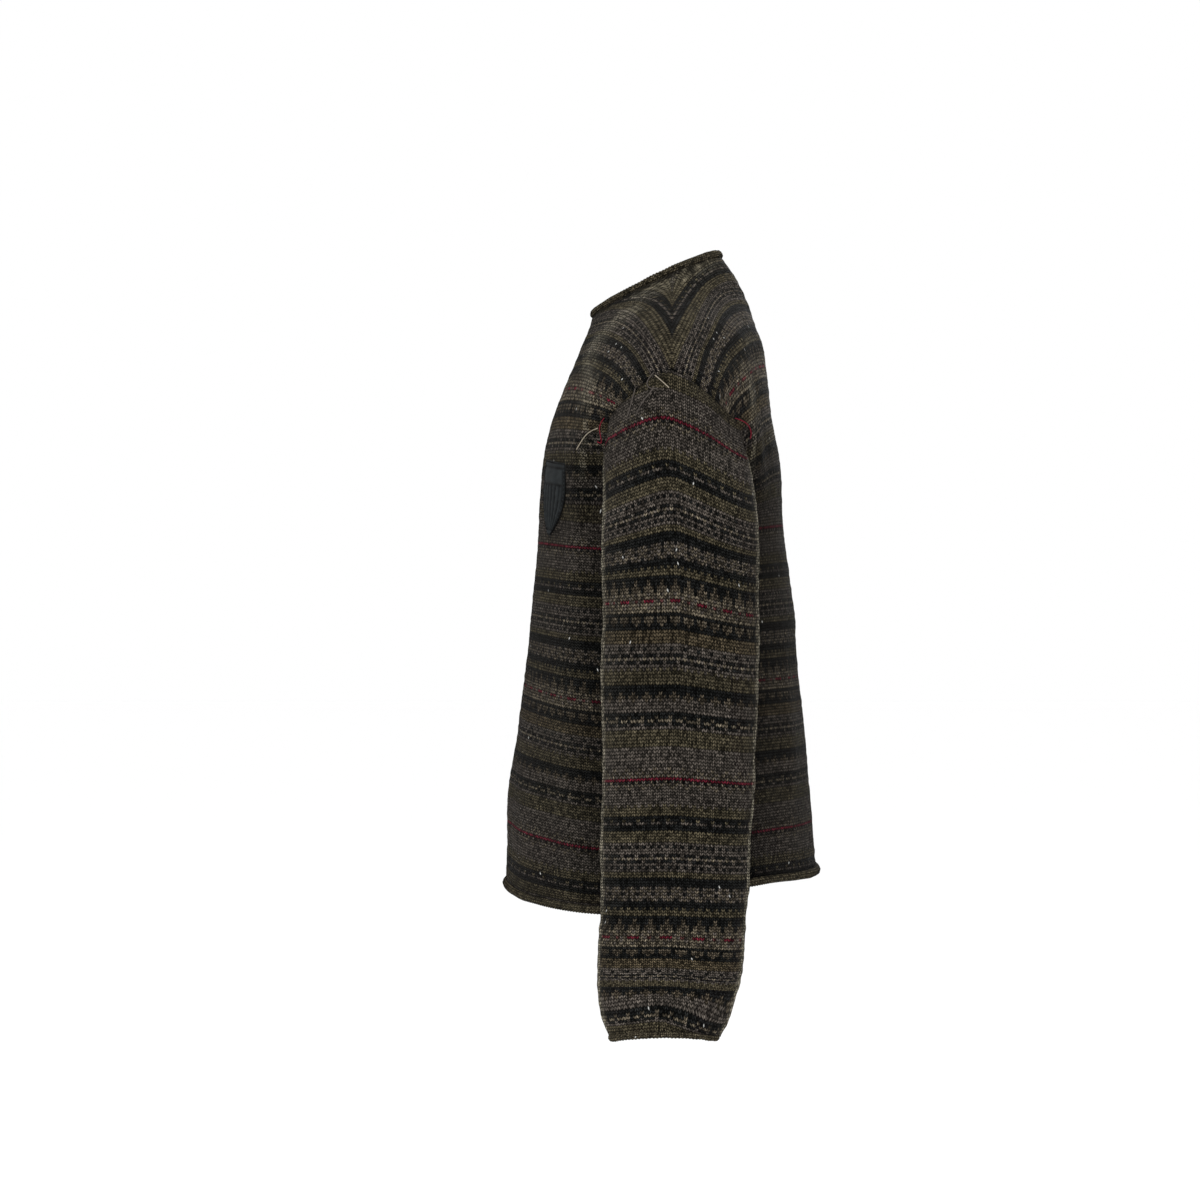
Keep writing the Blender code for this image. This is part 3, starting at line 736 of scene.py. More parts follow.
def knitted_wool(name, dip, contrast, bump_height):
    """Wool whose stitches are drawn from the maps called stitches, own and above."""
    wool = bpy.data.materials.new(name)
    wool.use_nodes = True
    tree = wool.node_tree
    shader = tree.nodes["Principled BSDF"]
    shader.inputs["Roughness"].default_value = 0.95
    shader.inputs["Specular IOR Level"].default_value = 0.02
    shader.inputs["Sheen Weight"].default_value = SHEEN
    shader.inputs["Sheen Roughness"].default_value = 0.25
    shader.inputs["Sheen Tint"].default_value = (0.95, 0.88, 0.76, 1)

    where = tree.nodes.new("ShaderNodeUVMap")
    where.uv_map = "stitches"
    split = tree.nodes.new("ShaderNodeSeparateXYZ")
    tree.links.new(where.outputs[0], split.inputs[0])
    twice = calculate(tree, "MULTIPLY", split.outputs[0], 2)
    in_wale = calculate(tree, "FRACT", split.outputs[0])
    off_middle = calculate(tree, "ABSOLUTE", calculate(tree, "SUBTRACT", calculate(
        tree, "MULTIPLY", in_wale, 2), 1))
    dipped = calculate(tree, "ADD", split.outputs[1], calculate(
        tree, "MULTIPLY", calculate(tree, "SUBTRACT", 1, off_middle), dip))
    own_row = calculate(tree, "FLOOR", split.outputs[1])
    yarn = mix_colours(
        tree, calculate(tree, "GREATER_THAN", calculate(tree, "SUBTRACT", dipped, own_row), 1),
        corner_colour(tree, "own"), corner_colour(tree, "above"))

    along = calculate(tree, "SINE", calculate(
        tree, "MULTIPLY", calculate(tree, "FRACT", dipped), math.pi))
    across = calculate(tree, "SINE", calculate(
        tree, "MULTIPLY", calculate(tree, "FRACT", twice), math.pi))
    leg = calculate(tree, "POWER", calculate(tree, "MULTIPLY", along, calculate(
        tree, "POWER", across, 0.6)), 1.3)

    cell = tree.nodes.new("ShaderNodeCombineXYZ")
    tree.links.new(calculate(tree, "FLOOR", twice), cell.inputs[0])
    tree.links.new(calculate(tree, "FLOOR", dipped), cell.inputs[1])
    chance = tree.nodes.new("ShaderNodeTexWhiteNoise")
    chance.noise_dimensions = "2D"
    tree.links.new(cell.outputs[0], chance.inputs["Vector"])
    both = tree.nodes.new("ShaderNodeSeparateColor")
    tree.links.new(chance.outputs["Color"], both.inputs[0])

    fibre = noise_value(tree, 900, 3.0)
    wear = noise_value(tree, 14, 2.0)
    # Painted shade in the gaps between the legs and a painted highlight along them, times each
    # leg's own strength, the fibres and a slow unevenness of the yarn.
    light = calculate(tree, "MULTIPLY", ranged(tree, leg, 1 - contrast, 1 + 1.4 * contrast),
                      ranged(tree, both.outputs[0], 1 - 0.80 * contrast, 1 + 0.80 * contrast))
    light = calculate(tree, "MULTIPLY", light, calculate(
        tree, "MAXIMUM", ranged(tree, fibre, -0.6, 2.6), 0.1))
    light = calculate(tree, "MULTIPLY", light, ranged(tree, wear, 0.80, 1.20))
    wool_colour = mix_colours(tree, 1.0, yarn, grey(tree, light), "MULTIPLY")

    # White neps, mostly in the black bands.
    parts = tree.nodes.new("ShaderNodeSeparateColor")
    tree.links.new(yarn, parts.inputs[0])
    dark = calculate(tree, "LESS_THAN", parts.outputs[0], DARK_YARN)
    bound = calculate(tree, "SUBTRACT", 1 - NEP_SHARE, calculate(
        tree, "MULTIPLY", dark, DARK_NEP_SHARE - NEP_SHARE))
    nep = calculate(tree, "MULTIPLY", calculate(tree, "GREATER_THAN", both.outputs[1], bound), leg)
    tree.links.new(mix_colours(tree, nep, wool_colour, NEP_SHADE), shader.inputs["Base Color"])

    height = calculate(tree, "ADD", leg, calculate(tree, "MULTIPLY", fibre, 0.5))
    tree.links.new(bumped(tree, height, bump_height, 0.8), shader.inputs["Normal"])
    return wool


right_side = knitted_wool("knitted_wool", 0.60, 0.96, 0.0014)
wrong_side = knitted_wool("knitted_wool_inside", 0.15, 0.70, 0.0009)
print("wool nodes:", len(right_side.node_tree.nodes))

# %% [markdown]
# ## Knitting a piece flat
#
# A knitter makes each panel flat, row by row, and shapes it by adding and dropping stitches.
# The cloth here starts in the same way: a grid with a face for each stitch is trimmed to the
# outline of the panel, gets its colours from the chart, and only then moves to its worn
# place. Modelling it worn from the start would bend the chart along with the body.

# %% Flat grid and colours
def knitted_grid(wales, low_row, high_row):
    """A flat grid, a face for each stitch; x counts wales from the middle and y counts rows."""
    cloth = bmesh.new()
    rows = high_row - low_row
    bmesh.ops.create_grid(cloth, x_segments=wales, y_segments=rows, size=0.5)
    bmesh.ops.scale(cloth, vec=(wales, rows, 1), verts=cloth.verts)
    bmesh.ops.translate(cloth, vec=(0, low_row + rows / 2, 0), verts=cloth.verts)
    return cloth


def dye_and_paint_light(cloth, letter_at, seed, worn_and_highlit=None, light=None):
    """Writes the stitch coordinates and the colours of each stitch and the one above it.
    For each point, the pale map says how far its wool is painted pale, for wear and for a
    highlight, and light says how bright its painted light and shade make it."""
    chances = np.random.default_rng(seed).normal(0, 1, 65536)
    if worn_and_highlit is None:
        worn_and_highlit = np.zeros(len(cloth.verts))
    if light is None:
        light = np.ones(len(cloth.verts))
    uv = cloth.loops.layers.uv.new("stitches")
    own = cloth.loops.layers.float_color.new("own")
    above = cloth.loops.layers.float_color.new("above")
    for stitch in cloth.faces:
        middle = stitch.calc_center_median()
        wale, row = math.floor(middle.x), math.floor(middle.y)
        shades = []
        for at_row in (row, row + 1):
            chance = chances[(wale * 7919 + at_row * 104729) % len(chances)]
            shade = stitch_shade(letter_at(wale, at_row), wale, at_row, chance)
            # The wool is painted pale for wear and for a highlight, then multiplied by painted
            # light and shade.
            pale = max(worn_and_highlit[corner.vert.index] for corner in stitch.loops)
            shade = (shade + pale * (np.array(WORN_AND_HIGHLIGHT_SHADE) - shade)) * min(
                light[corner.vert.index] for corner in stitch.loops)
            shades.append((*shade, 1.0))
        for corner in stitch.loops:
            corner[uv].uv = corner.vert.co.xy
            corner[own] = shades[0]
            corner[above] = shades[1]


def flat_places(cloth):
    cloth.verts.index_update()
    return np.array([vert.co[:] for vert in cloth.verts])


def wear(cloth, points):
    """Moves the flat knitting to its worn place."""
    for vert, point in zip(cloth.verts, points):
        vert.co = point


def merge_close(cloth):
    """Merges points that fell together, and drops the faces that lost their area."""
    bmesh.ops.remove_doubles(cloth, verts=cloth.verts, dist=1e-4)
    bmesh.ops.dissolve_degenerate(cloth, edges=cloth.edges, dist=1e-4)


def make_piece(name, form, *materials):
    """Turns a finished bmesh into an object with smooth faces."""
    for face in form.faces:
        face.smooth = True
    mesh = bpy.data.meshes.new(name)
    form.to_mesh(mesh)
    form.free()
    for material in materials:
        mesh.materials.append(material)
    piece = bpy.data.objects.new(name, mesh)
    bpy.context.scene.collection.objects.link(piece)
    return piece


def give_wall(piece):
    """Gives knitting its wall's thickness inwards, with its wrong side inside."""
    shell = piece.modifiers.new("wall", "SOLIDIFY")
    shell.thickness = WALL
    shell.offset = -1
    shell.material_offset = 1
    shell.use_rim = True


# %% [markdown]
# ## Creases and unevenness
#
# Cloth that was worn keeps soft creases. They could come from a simulation, but the few that
# matter are known: where each one runs, how long it is, and how far it stands out. So they are
# given as soft ridges and troughs along a line, with a slow, small unevenness of the
# whole knitting added to them.

# %% Creases as ridges along a line
def creased(points, creases):
    """How far the cloth stands out at each point for ridges given as two ends and sizes."""
    lift = np.zeros(len(points))
    for start, end, half_width, height in creases:
        start, end = np.array(start), np.array(end)
        run = end - start
        along = np.clip((points - start) @ run / (run @ run), 0, 1)
        off = np.linalg.norm(points - (start + along[:, None] * run), axis=1)
        fade = np.sin(math.pi * np.clip(along, 0.02, 0.98)) ** 0.5
        lift = lift + height * fade * hump(off, half_width)
    return lift


def uneven(points, seed, size, height):
    """A slow unevenness; size is about the distance from one bump to the next."""
    shift = Vector((seed * 3.7, seed * 1.3, seed * 2.1))
    return height * np.array([noise.noise(Vector(point) / size + shift) for point in points])


UNEVEN_HEIGHT = 0.0022
KNOBBLE_SIZE = 0.006
KNOBBLE_HEIGHT = 0.0008


def knitted_lift(points, creases, seed, size):
    """A piece's whole relief: its creases, a slow unevenness and small knobbles."""
    return (creased(points, creases) + uneven(points, seed, size, UNEVEN_HEIGHT)
            + uneven(points, seed + 5, KNOBBLE_SIZE, KNOBBLE_HEIGHT))


CREASE_SHADE = 90          # how much brighter a metre of lift would make the wool
SHADE_RANGE = (0.6, 1.3)


def shaded(points, creases):
    """How bright creases make the wool: their ridges catch light and their troughs lose it."""
    return np.clip(1 + CREASE_SHADE * creased(points, creases), *SHADE_RANGE)


# %% [markdown]
# ## The front and the back
#
# Below the underarm a panel keeps all its stitches and the knitting widens with the body.
# Above it, stitches are dropped towards the armhole, so the wales stay upright there and run
# out at its edge. The trimmed grid is made by moving every point outside the outline onto it
# and merging what falls together.

# %% Knit a panel
half_wales = round(front_map.path(np.array([UNDERARM_COURSE]))[2][0, -1] / WALE_WIDTH)
edge_courses = np.linspace(SHOULDER_TIP_COURSE, UNDERARM_COURSE, 60)


def wales_at(panel, course):
    """Half the panel's width in wales at a course."""
    width = panel.path(edge_courses)[2][:, -1]
    return np.interp(course, edge_courses, half_wales * np.minimum(width / width[-1], 1))


def trimmed_panel(panel):
    """The flat knitting of a panel, cut to its outline."""
    cloth = knitted_grid(2 * half_wales, math.floor(-panel.hem_course * REPEAT_ROWS),
                         math.ceil(-NECK_POINT_COURSE * REPEAT_ROWS))
    flat = flat_places(cloth)
    wale, course = flat[:, 0], -flat[:, 1] / REPEAT_ROWS
    tip_wales = wales_at(panel, np.array([SHOULDER_TIP_COURSE]))[0]
    top = panel.top_course(np.minimum(np.abs(wale) / tip_wales, 1))
    course = np.clip(course, top, panel.hem_course)
    edge = wales_at(panel, course)
    wale = np.clip(wale, -edge, edge)
    wear(cloth, np.stack([wale, -course * REPEAT_ROWS, 0 * wale], -1))
    merge_close(cloth)
    return cloth


print("half a panel:", half_wales, "wales")

# %% [markdown]
# ## Creases, wear and painted shade of the panels
#
# The panels have soft creases near the armholes and down the skirt. Along a few lines the wool
# is painted pale, as worn wool and as a highlight on the ridges. Beside and behind a sleeve,
# under the neck's roll and above the hem, shade is painted into the wool, and the back below
# the yoke is painted darker than the front.

# %% Lines of the panels
FRONT_CREASES = (
    ((0.135, -0.098, -0.100), (0.150, -0.096, -0.210), 0.005, 0.0020),
    ((-0.135, -0.098, -0.105), (-0.152, -0.096, -0.200), 0.006, 0.0018),
    ((0.100, -0.125, -0.270), (0.165, -0.085, -0.225), 0.010, -0.0016),
    ((-0.095, -0.125, -0.280), (-0.165, -0.085, -0.230), 0.011, -0.0016),
    ((0.120, -0.130, -0.330), (0.175, -0.060, -0.255), 0.012, 0.0018),
    ((-0.125, -0.130, -0.340), (-0.178, -0.060, -0.260), 0.012, 0.0018),
    ((0.030, -0.155, -0.420), (0.060, -0.160, -0.580), 0.020, 0.0020),
    ((-0.080, -0.150, -0.400), (-0.065, -0.155, -0.560), 0.022, 0.0018),
    ((0.150, -0.125, -0.450), (0.175, -0.115, -0.590), 0.016, -0.0018),
)
BACK_CREASES = (
    ((0.130, 0.078, -0.095), (0.150, 0.080, -0.205), 0.005, 0.0020),
    ((-0.132, 0.078, -0.100), (-0.150, 0.080, -0.200), 0.006, 0.0018),
    ((0.090, 0.105, -0.290), (0.165, 0.075, -0.235), 0.012, -0.0018),
    ((-0.095, 0.105, -0.280), (-0.165, 0.075, -0.230), 0.012, -0.0018),
    ((0.050, 0.115, -0.330), (-0.060, 0.118, -0.350), 0.018, 0.0016),
    ((0.120, 0.105, -0.400), (0.150, 0.110, -0.560), 0.018, 0.0020),
    ((-0.110, 0.108, -0.420), (-0.140, 0.115, -0.570), 0.020, 0.0018),
    ((0.010, 0.120, -0.440), (0.030, 0.132, -0.560), 0.020, -0.0018),
)

# Lines where the wool is painted pale, as rubbed wool and as a highlight on ridges, alike on both
# halves: their points, as seen from the side, then the half width and how pale the wool is.
FRONT_WORN_AND_HIGHLIT = (
    (((0.001, -0.012), (-0.0120, -0.0210), (-0.0300, -0.0310)), 0.0065, 0.26),
    (((-0.034, -0.0455), (-0.0445, -0.0500), (-0.0570, -0.0627), (-0.0715, -0.0780),
      (-0.0780, -0.1000), (-0.0790, -0.1300)), 0.0052, 0.36),
    (((-0.069, -0.110), (-0.0757, -0.130), (-0.0803, -0.162), (-0.083, -0.205)), 0.0008, 0.32),
)
BACK_WORN_AND_HIGHLIT = (
    (((0.001, -0.012), (0.0150, -0.0060), (0.0380, 0.0050)), 0.0065, 0.22),
    (((0.0710, -0.112), (0.0755, -0.130), (0.0765, -0.165), (0.0750, -0.205)), 0.0008, 0.32),
    (((0.066, -0.100), (0.075, -0.120), (0.078, -0.150)), 0.0040, 0.15),
)


def pale_from_wear_and_highlight(points, worn_and_highlit):
    """How pale the wool is painted at each point, for wear and for a highlight: most on the lines,
    fading beside them.
    """
    most = np.zeros(len(points))
    for line, half_width, strength in worn_and_highlit:
        near = np.full(len(points), 1.0)
        for start, end in zip(line[:-1], line[1:]):
            run = np.array(end) - start
            along = np.clip((points[:, 1:] - start) @ run / (run @ run), 0, 1)
            off = points[:, 1:] - (start + along[:, None] * run)
            near = np.minimum(near, np.linalg.norm(off, axis=1))
        most = np.maximum(most, strength * hump(near, half_width))
    return most


SLEEVE_EDGE = 0.060        # how far the sleeves reach in front of the middle and behind it
SLEEVE_PAINTED_SHADE = 0.38             # painted shade: how much light is lost right beside a sleeve
SLEEVE_PAINTED_SHADE_WIDTH = 0.028
YOKE_HEIGHTS = (-0.200, -0.150)      # the yoke's shade begins between these
PANEL_LIGHT = {-1: (0.80, 1.04), 1: (0.63, 1.20)}     # painted light below the yoke and on it, in front and behind
ROLL_SHADOW = 0.72         # how much light is lost under the neck's roll
ROLL_SHADOW_DROP = 0.0020
ROLL_SHADOW_WIDTH = 0.0014
HEM_SHADOW = 0.40          # and above the hem's roll, with its place and width in rows
HEM_SHADOW_ROWS = (0.8, 1.1)


def painted_body_shade(points, face):
    """How bright the wool is painted at each point of the body: painted shade beside and behind a
    sleeve, most in the line under the neck's roll, and painted light that differs in front, behind
    and on the yoke."""
    on_yoke = np.interp(points[:, 2], YOKE_HEIGHTS, (0, 1))
    below, above = PANEL_LIGHT[face]
    beside = np.maximum(np.abs(points[:, 1]) - SLEEVE_EDGE, 0)
    under_roll = neck_plane(points[:, 1]) - points[:, 2] - ROLL_SHADOW_DROP
    return ((below + (above - below) * on_yoke)
            * (1 - SLEEVE_PAINTED_SHADE * (1 - on_yoke) * hump(beside, SLEEVE_PAINTED_SHADE_WIDTH))
            * (1 - ROLL_SHADOW * hump(under_roll, ROLL_SHADOW_WIDTH)))


print("lines of wear:", len(FRONT_WORN_AND_HIGHLIT) + len(BACK_WORN_AND_HIGHLIT))

# %% Knit both panels
PANEL_UNEVEN_SIZE = 0.070
RUBBED_LIFT = 0.0025
SEAM_DEPTH = 0.0004
SEAM_WALES = 1.1           # half the width of a seam's groove
SEAM_EASE_WALES = 4        # creases fade within this distance of a seam
FAR_WALES = 99


def knit_panel(name, panel, creases, worn_and_highlit, seed):
    cloth = trimmed_panel(panel)
    flat = flat_places(cloth)
    wale, course = np.abs(flat[:, 0]), -flat[:, 1] / REPEAT_ROWS
    edge = wales_at(panel, course)
    points, normals = panel.surface(np.clip(flat[:, 0] / edge, -1, 1), course)
    # Painted pale along the lines, for wear and for a highlight on the ridges.
    rubbed = pale_from_wear_and_highlight(points, worn_and_highlit)
    place, width = HEM_SHADOW_ROWS
    above_hem = (panel.hem_course - course) * REPEAT_ROWS
    # The wool's colour takes painted shade beside the sleeves, under the neck's roll and above the
    # hem, and painted light and shade along the creases.
    dye_and_paint_light(cloth, chart_letter, seed, rubbed, painted_body_shade(points, panel.face)
        * shaded(points, creases) * (1 - HEM_SHADOW * hump(above_hem - place, width)))
    top = panel.top_course(np.minimum(wale / edge, 1))
    to_shoulder = np.where(wale / edge > NECK_SHARE, (course - top) * REPEAT_ROWS, FAR_WALES)
    near = np.minimum(edge - wale, to_shoulder)
    lift = knitted_lift(points, creases, seed, PANEL_UNEVEN_SIZE) + RUBBED_LIFT * rubbed
    lift = lift * np.clip(near / SEAM_EASE_WALES, 0, 1) - SEAM_DEPTH * hump(near, SEAM_WALES)
    wear(cloth, points + normals * lift[:, None])
    if panel.face > 0:
        bmesh.ops.reverse_faces(cloth, faces=cloth.faces)
    piece = make_piece(name, cloth, right_side, wrong_side)
    give_wall(piece)
    print(name, len(piece.data.polygons), "stitches")
    return piece


front = knit_panel("front_knit", front_map, FRONT_CREASES, FRONT_WORN_AND_HIGHLIT, 1)
back = knit_panel("back_knit", back_map, BACK_CREASES, BACK_WORN_AND_HIGHLIT, 2)

# %% [markdown]
# ## The sleeves
#
# A sleeve is knitted flat as well and sewn into a tube along the underarm. Its grid runs from
# that seam round the front and the outer side back to the seam, and its two edges are merged
# once it is worn. It was pressed flat, so a sharp fold runs down its front and its back.

# %% Knit a sleeve
SLEEVE_WALES = 112
CUFF_WALES = 84
SHAPING_COURSES = (0.60, 1.50)     # the sleeve narrows between these
FOLD_TOP = -0.160
FOLD_FADE = 0.03
FOLD_WALES = 1.1           # half the width of the sharp fold
# How pale a fold is painted, for wear and for a highlight on its ridge.
FOLD_WORN_AND_HIGHLIGHT = 0.75
FOLD_LIFT = 0.0022
SLEEVE_LIGHT = ((-0.66, 1.30), (-0.64, 1), (-0.21, 1), (-0.17, 0.84))   # heights and painted light
CUFF_SHADOW = 0.35         # how much light is lost above the cuff's roll
CUFF_SHADOW_PLACE = 0.0015
CUFF_SHADOW_WIDTH = 0.0018
SLEEVE_UNEVEN_SIZE = 0.055
SEAM_EASE = 0.012
SMALL_STEP = 0.004
SLEEVE_CREASES = (
    ((0.262, -0.066, -0.6750), (0.301, 0.006, -0.6640), 0.0032, -0.0052),
    ((0.301, -0.024, -0.6640), (0.280, 0.054, -0.6870), 0.0034, -0.0052),
    ((0.262, -0.064, -0.6670), (0.301, 0.006, -0.6560), 0.0040, 0.0036),
    ((0.301, -0.024, -0.6560), (0.280, 0.056, -0.6760), 0.0042, 0.0034),
    ((0.280, -0.050, -0.6810), (0.299, 0.020, -0.6790), 0.0040, 0.0030),
    ((0.275, -0.056, -0.6905), (0.299, 0.004, -0.6860), 0.0030, -0.0034),
    ((0.299, -0.012, -0.6860), (0.283, 0.042, -0.6990), 0.0030, -0.0034),
    ((0.297, 0.005, -0.6400), (0.285, 0.050, -0.6320), 0.0070, 0.0016),
    ((0.225, -0.060, -0.250), (0.262, -0.010, -0.330), 0.014, 0.0020),
    ((0.225, 0.065, -0.250), (0.260, 0.025, -0.320), 0.014, 0.0020),
    ((0.285, -0.030, -0.470), (0.292, 0.040, -0.500), 0.016, -0.0018),
    ((0.262, -0.045, -0.380), (0.270, 0.030, -0.400), 0.018, -0.0014),
    ((0.232, -0.030, -0.540), (0.226, 0.040, -0.520), 0.016, 0.0016),
    ((0.240, -0.030, -0.640), (0.240, 0.030, -0.650), 0.010, -0.0018),
)


def sleeve_wales(row):
    """Wales round the sleeve at a row; stitches are dropped beside the underarm seam."""
    return np.interp(-row / REPEAT_ROWS, SHAPING_COURSES, (SLEEVE_WALES, CUFF_WALES))


def shaped_sleeve():
    """The flat sleeve before it is cut to length, narrower towards the cuff."""
    low_row = math.floor(-SLEEVE_COURSES[-1][0] * REPEAT_ROWS)
    cloth = knitted_grid(SLEEVE_WALES, low_row, math.ceil(-SLEEVE_COURSES[0][0] * REPEAT_ROWS))
    flat = flat_places(cloth)
    half = sleeve_wales(flat[:, 1]) / 2
    wear(cloth, np.stack([np.clip(flat[:, 0], -half, half), flat[:, 1], flat[:, 2]], -1))
    merge_close(cloth)
    return cloth


def cut_to_length(cloth):
    """Trims each wale at the armhole and the cuff, and says how far down each point lies."""
    flat = flat_places(cloth)
    round_share = np.mod(flat[:, 0] / sleeve_wales(flat[:, 1]), 1)
    down = sleeve_share(round_share, -flat[:, 1] / REPEAT_ROWS)
    wales = {}
    for number, (line, share) in enumerate(zip(np.round(flat[:, 0], 3), down)):
        wales.setdefault(line, []).append((flat[number, 1], share, number))
    for line in wales.values():
        inside = [row for row, share, _ in line if 0 < share < 1]
        for _, share, number in line:
            if share <= 0:
                flat[number, 1] = max(inside) + 0.5
            elif share >= 1:
                flat[number, 1] = min(inside) - 0.5
    wear(cloth, flat)
    lookup = dict(zip(map(tuple, np.round(flat[:, :2], 3)), np.clip(down, 0, 1)))
    merge_close(cloth)
    return np.array([lookup[tuple(place)] for place in np.round(flat_places(cloth)[:, :2], 3)])


print("wales round a sleeve: %d, and at the cuff: %d" % (SLEEVE_WALES, CUFF_WALES))


# %% Light and directions on a sleeve
def sleeve_painted_light(points, down):
    """How bright the wool is painted: painted shade on the cap, in crease troughs and over the
    cuff's roll, and painted light on the cuff and crease ridges.
    """
    to_cuff = (1 - down) * (SHOULDER_TIP_HEIGHT - SLEEVE_END)
    return (shaded(points, SLEEVE_CREASES) * np.interp(points[:, 2], *np.array(SLEEVE_LIGHT).T)
            * (1 - CUFF_SHADOW * hump(to_cuff - CUFF_SHADOW_PLACE, CUFF_SHADOW_WIDTH)))


def sleeve_normal(round_share, down, points):
    """The outward directions of the sleeve's surface."""
    around = (sleeve_point(round_share + SMALL_STEP, down)
              - sleeve_point(round_share - SMALL_STEP, down))
    lower = np.minimum(down + SMALL_STEP, 1)
    along = sleeve_point(round_share, lower) - sleeve_point(round_share, lower - 2 * SMALL_STEP)
    normals = unit(np.cross(along, around))
    outward = points - own_point(0 * down, points[:, 2]) * np.array([1, 0, 1])
    outward[:, 0] += sleeve_value("half_depth", points[:, 2])
    return normals * np.sign(np.median(np.sum(normals * outward, axis=1)))


# %% Knit both sleeves
def knit_sleeve(name, side, seed):
    """A sleeve; side is 1 on the left and -1 on the right."""
    cloth = shaped_sleeve()
    down = cut_to_length(cloth)
    flat = flat_places(cloth)
    round_share = flat[:, 0] / sleeve_wales(flat[:, 1])
    points = sleeve_point(round_share, down)
    off = np.minimum(*[np.abs(np.mod(round_share, 1) - fold) for fold in (FRONT_FOLD, BACK_FOLD)])
    fade = np.clip((FOLD_TOP - points[:, 2]) / FOLD_FADE, 0, 1)
    on_fold = fade * hump(off * SLEEVE_WALES, FOLD_WALES)
    # The folds are painted pale, for wear and for a highlight, and the wool takes painted light
    # and shade.
    dye_and_paint_light(cloth, chart_letter, seed, FOLD_WORN_AND_HIGHLIGHT * on_fold, sleeve_painted_light(points, down))
    lift = knitted_lift(points, SLEEVE_CREASES, seed, SLEEVE_UNEVEN_SIZE) + FOLD_LIFT * on_fold
    lift = lift * np.clip(down * (SHOULDER_TIP_HEIGHT - SLEEVE_END) / SEAM_EASE, 0, 1)
    points = points + sleeve_normal(round_share, down, points) * lift[:, None]
    points[:, 0] *= side
    wear(cloth, points)
    bmesh.ops.remove_doubles(cloth, verts=cloth.verts, dist=1e-5)
    bmesh.ops.recalc_face_normals(cloth, faces=cloth.faces)
    outer = max(cloth.faces, key=lambda stitch: side * stitch.calc_center_median().x)
    if side * outer.normal.x < 0:
        bmesh.ops.reverse_faces(cloth, faces=cloth.faces)
    piece = make_piece(name, cloth, right_side, wrong_side)
    give_wall(piece)
    print(name, len(piece.data.polygons), "stitches, middle", np.round(points.mean(axis=0), 3))
    return piece


sleeve_left = knit_sleeve("sleeve_left_knit", 1, 3)
sleeve_right = knit_sleeve("sleeve_right_knit", -1, 4)

# %% [markdown]
# ## Rolled edges
#
# Plain knitting curls outwards at a free edge, and the neck, the hem and the cuffs are left to
# do so. A roll could be the panel's own edge wound up, which needs many rows that nobody
# sees. It is a knitted tube along the edge instead, a little thicker and thinner by turns,
# and tucked against the panel.

# %% Roll an edge
NECK_ROLL_RADIUS = 0.0033
HEM_ROLL_RADIUS = 0.0038
CUFF_ROLL_RADIUS = 0.0031
ROLL_ROWS = 9
ROLL_TUCK = 0.7            # how far the roll's middle lies beyond the edge, in radii
ROLL_UNEVEN = 0.16
ROLL_SWAY = 1.9            # how often the thickness changes round the loop
ROLL_RIPPLE = 0.10         # of the radius, from one wale to the next


def roll_thickness(wale, wales, seed):
    """How thick a roll is at a wale: a slow unevenness that closes on itself."""
    angle = 2 * math.pi * wale / wales
    spot = Vector((ROLL_SWAY * math.cos(angle) + seed, ROLL_SWAY * math.sin(angle), 0.3))
    return 1 + ROLL_UNEVEN * noise.noise(spot * 3)


def rolled_edge(name, points, normals, inside, radius, outward, seed, letter="d"):
    """A knitted tube along a closed edge; inside holds points a little within the panel."""
    run = np.roll(points, -1, axis=0) - np.roll(points, 1, axis=0)
    beyond = unit(np.cross(run, normals))
    beyond *= np.sign(np.median(np.sum(beyond * (points - inside), axis=1)))
    line = points - normals * WALL / 2 + beyond * radius * ROLL_TUCK + normals * radius * outward
    length = running_length(np.concatenate([line, line[:1]]))
    wales = round(length[-1] / WALE_WIDTH)
    cloth = knitted_grid(2 * wales, 0, ROLL_ROWS)
    for vert in cloth.verts:
        vert.co.x = vert.co.x / 2
    dye_and_paint_light(cloth, lambda wale, row: letter, seed)
    flat = flat_places(cloth)
    at = np.mod(flat[:, 0] / wales, 1) * length[-1]
    closed = [np.concatenate([values, values[:1]]) for values in (line, normals, beyond)]
    centre, out, away = [
        np.stack([np.interp(at, length, values[:, axis]) for axis in range(3)], -1)
        for values in closed]
    angle = 2 * math.pi * flat[:, 1] / ROLL_ROWS
    thick = np.array([roll_thickness(wale, wales, seed) for wale in flat[:, 0]])
    ripple = 1 + ROLL_RIPPLE * np.cos(2 * math.pi * flat[:, 0])
    size = (radius * thick * ripple)[:, None]
    wear(cloth, centre + size * (np.cos(angle)[:, None] * out + np.sin(angle)[:, None] * away))
    bmesh.ops.remove_doubles(cloth, verts=cloth.verts, dist=1e-5)
    bmesh.ops.recalc_face_normals(cloth, faces=cloth.faces)
    piece = make_piece(name, cloth, right_side, wrong_side)
    print(name, "length %.3f m" % length[-1])
    return piece


def edge_loop(course_of, span, sample):
    """Points, directions and inner points round the body's edge, front and then back."""
    parts = []
    for panel, order in ((front_map, 1), (back_map, -1)):
        across = span(np.linspace(-1, 1, sample)[:-1] * order)
        course = course_of(panel, across)
        points, normals = panel.surface(across, course)
        below = course + 0.02 * (1 if course[0] < 0 else -1)
        parts.append((points, normals, panel.surface(across, below)[0]))
    return [np.concatenate(group) for group in zip(*parts)]


neck = edge_loop(lambda panel, across: panel.top_course(np.abs(across)),
                 lambda step: NECK_SHARE * np.sin(step * math.pi / 2), 61)
neck_edge = rolled_edge("neck_edge", *neck, NECK_ROLL_RADIUS, 0.85, 11)
hem = edge_loop(lambda panel, across: np.full_like(across, panel.hem_course),
                lambda step: step, 91)
hem_edge = rolled_edge("hem_edge", *hem, HEM_ROLL_RADIUS, 0.40, 12, "o")

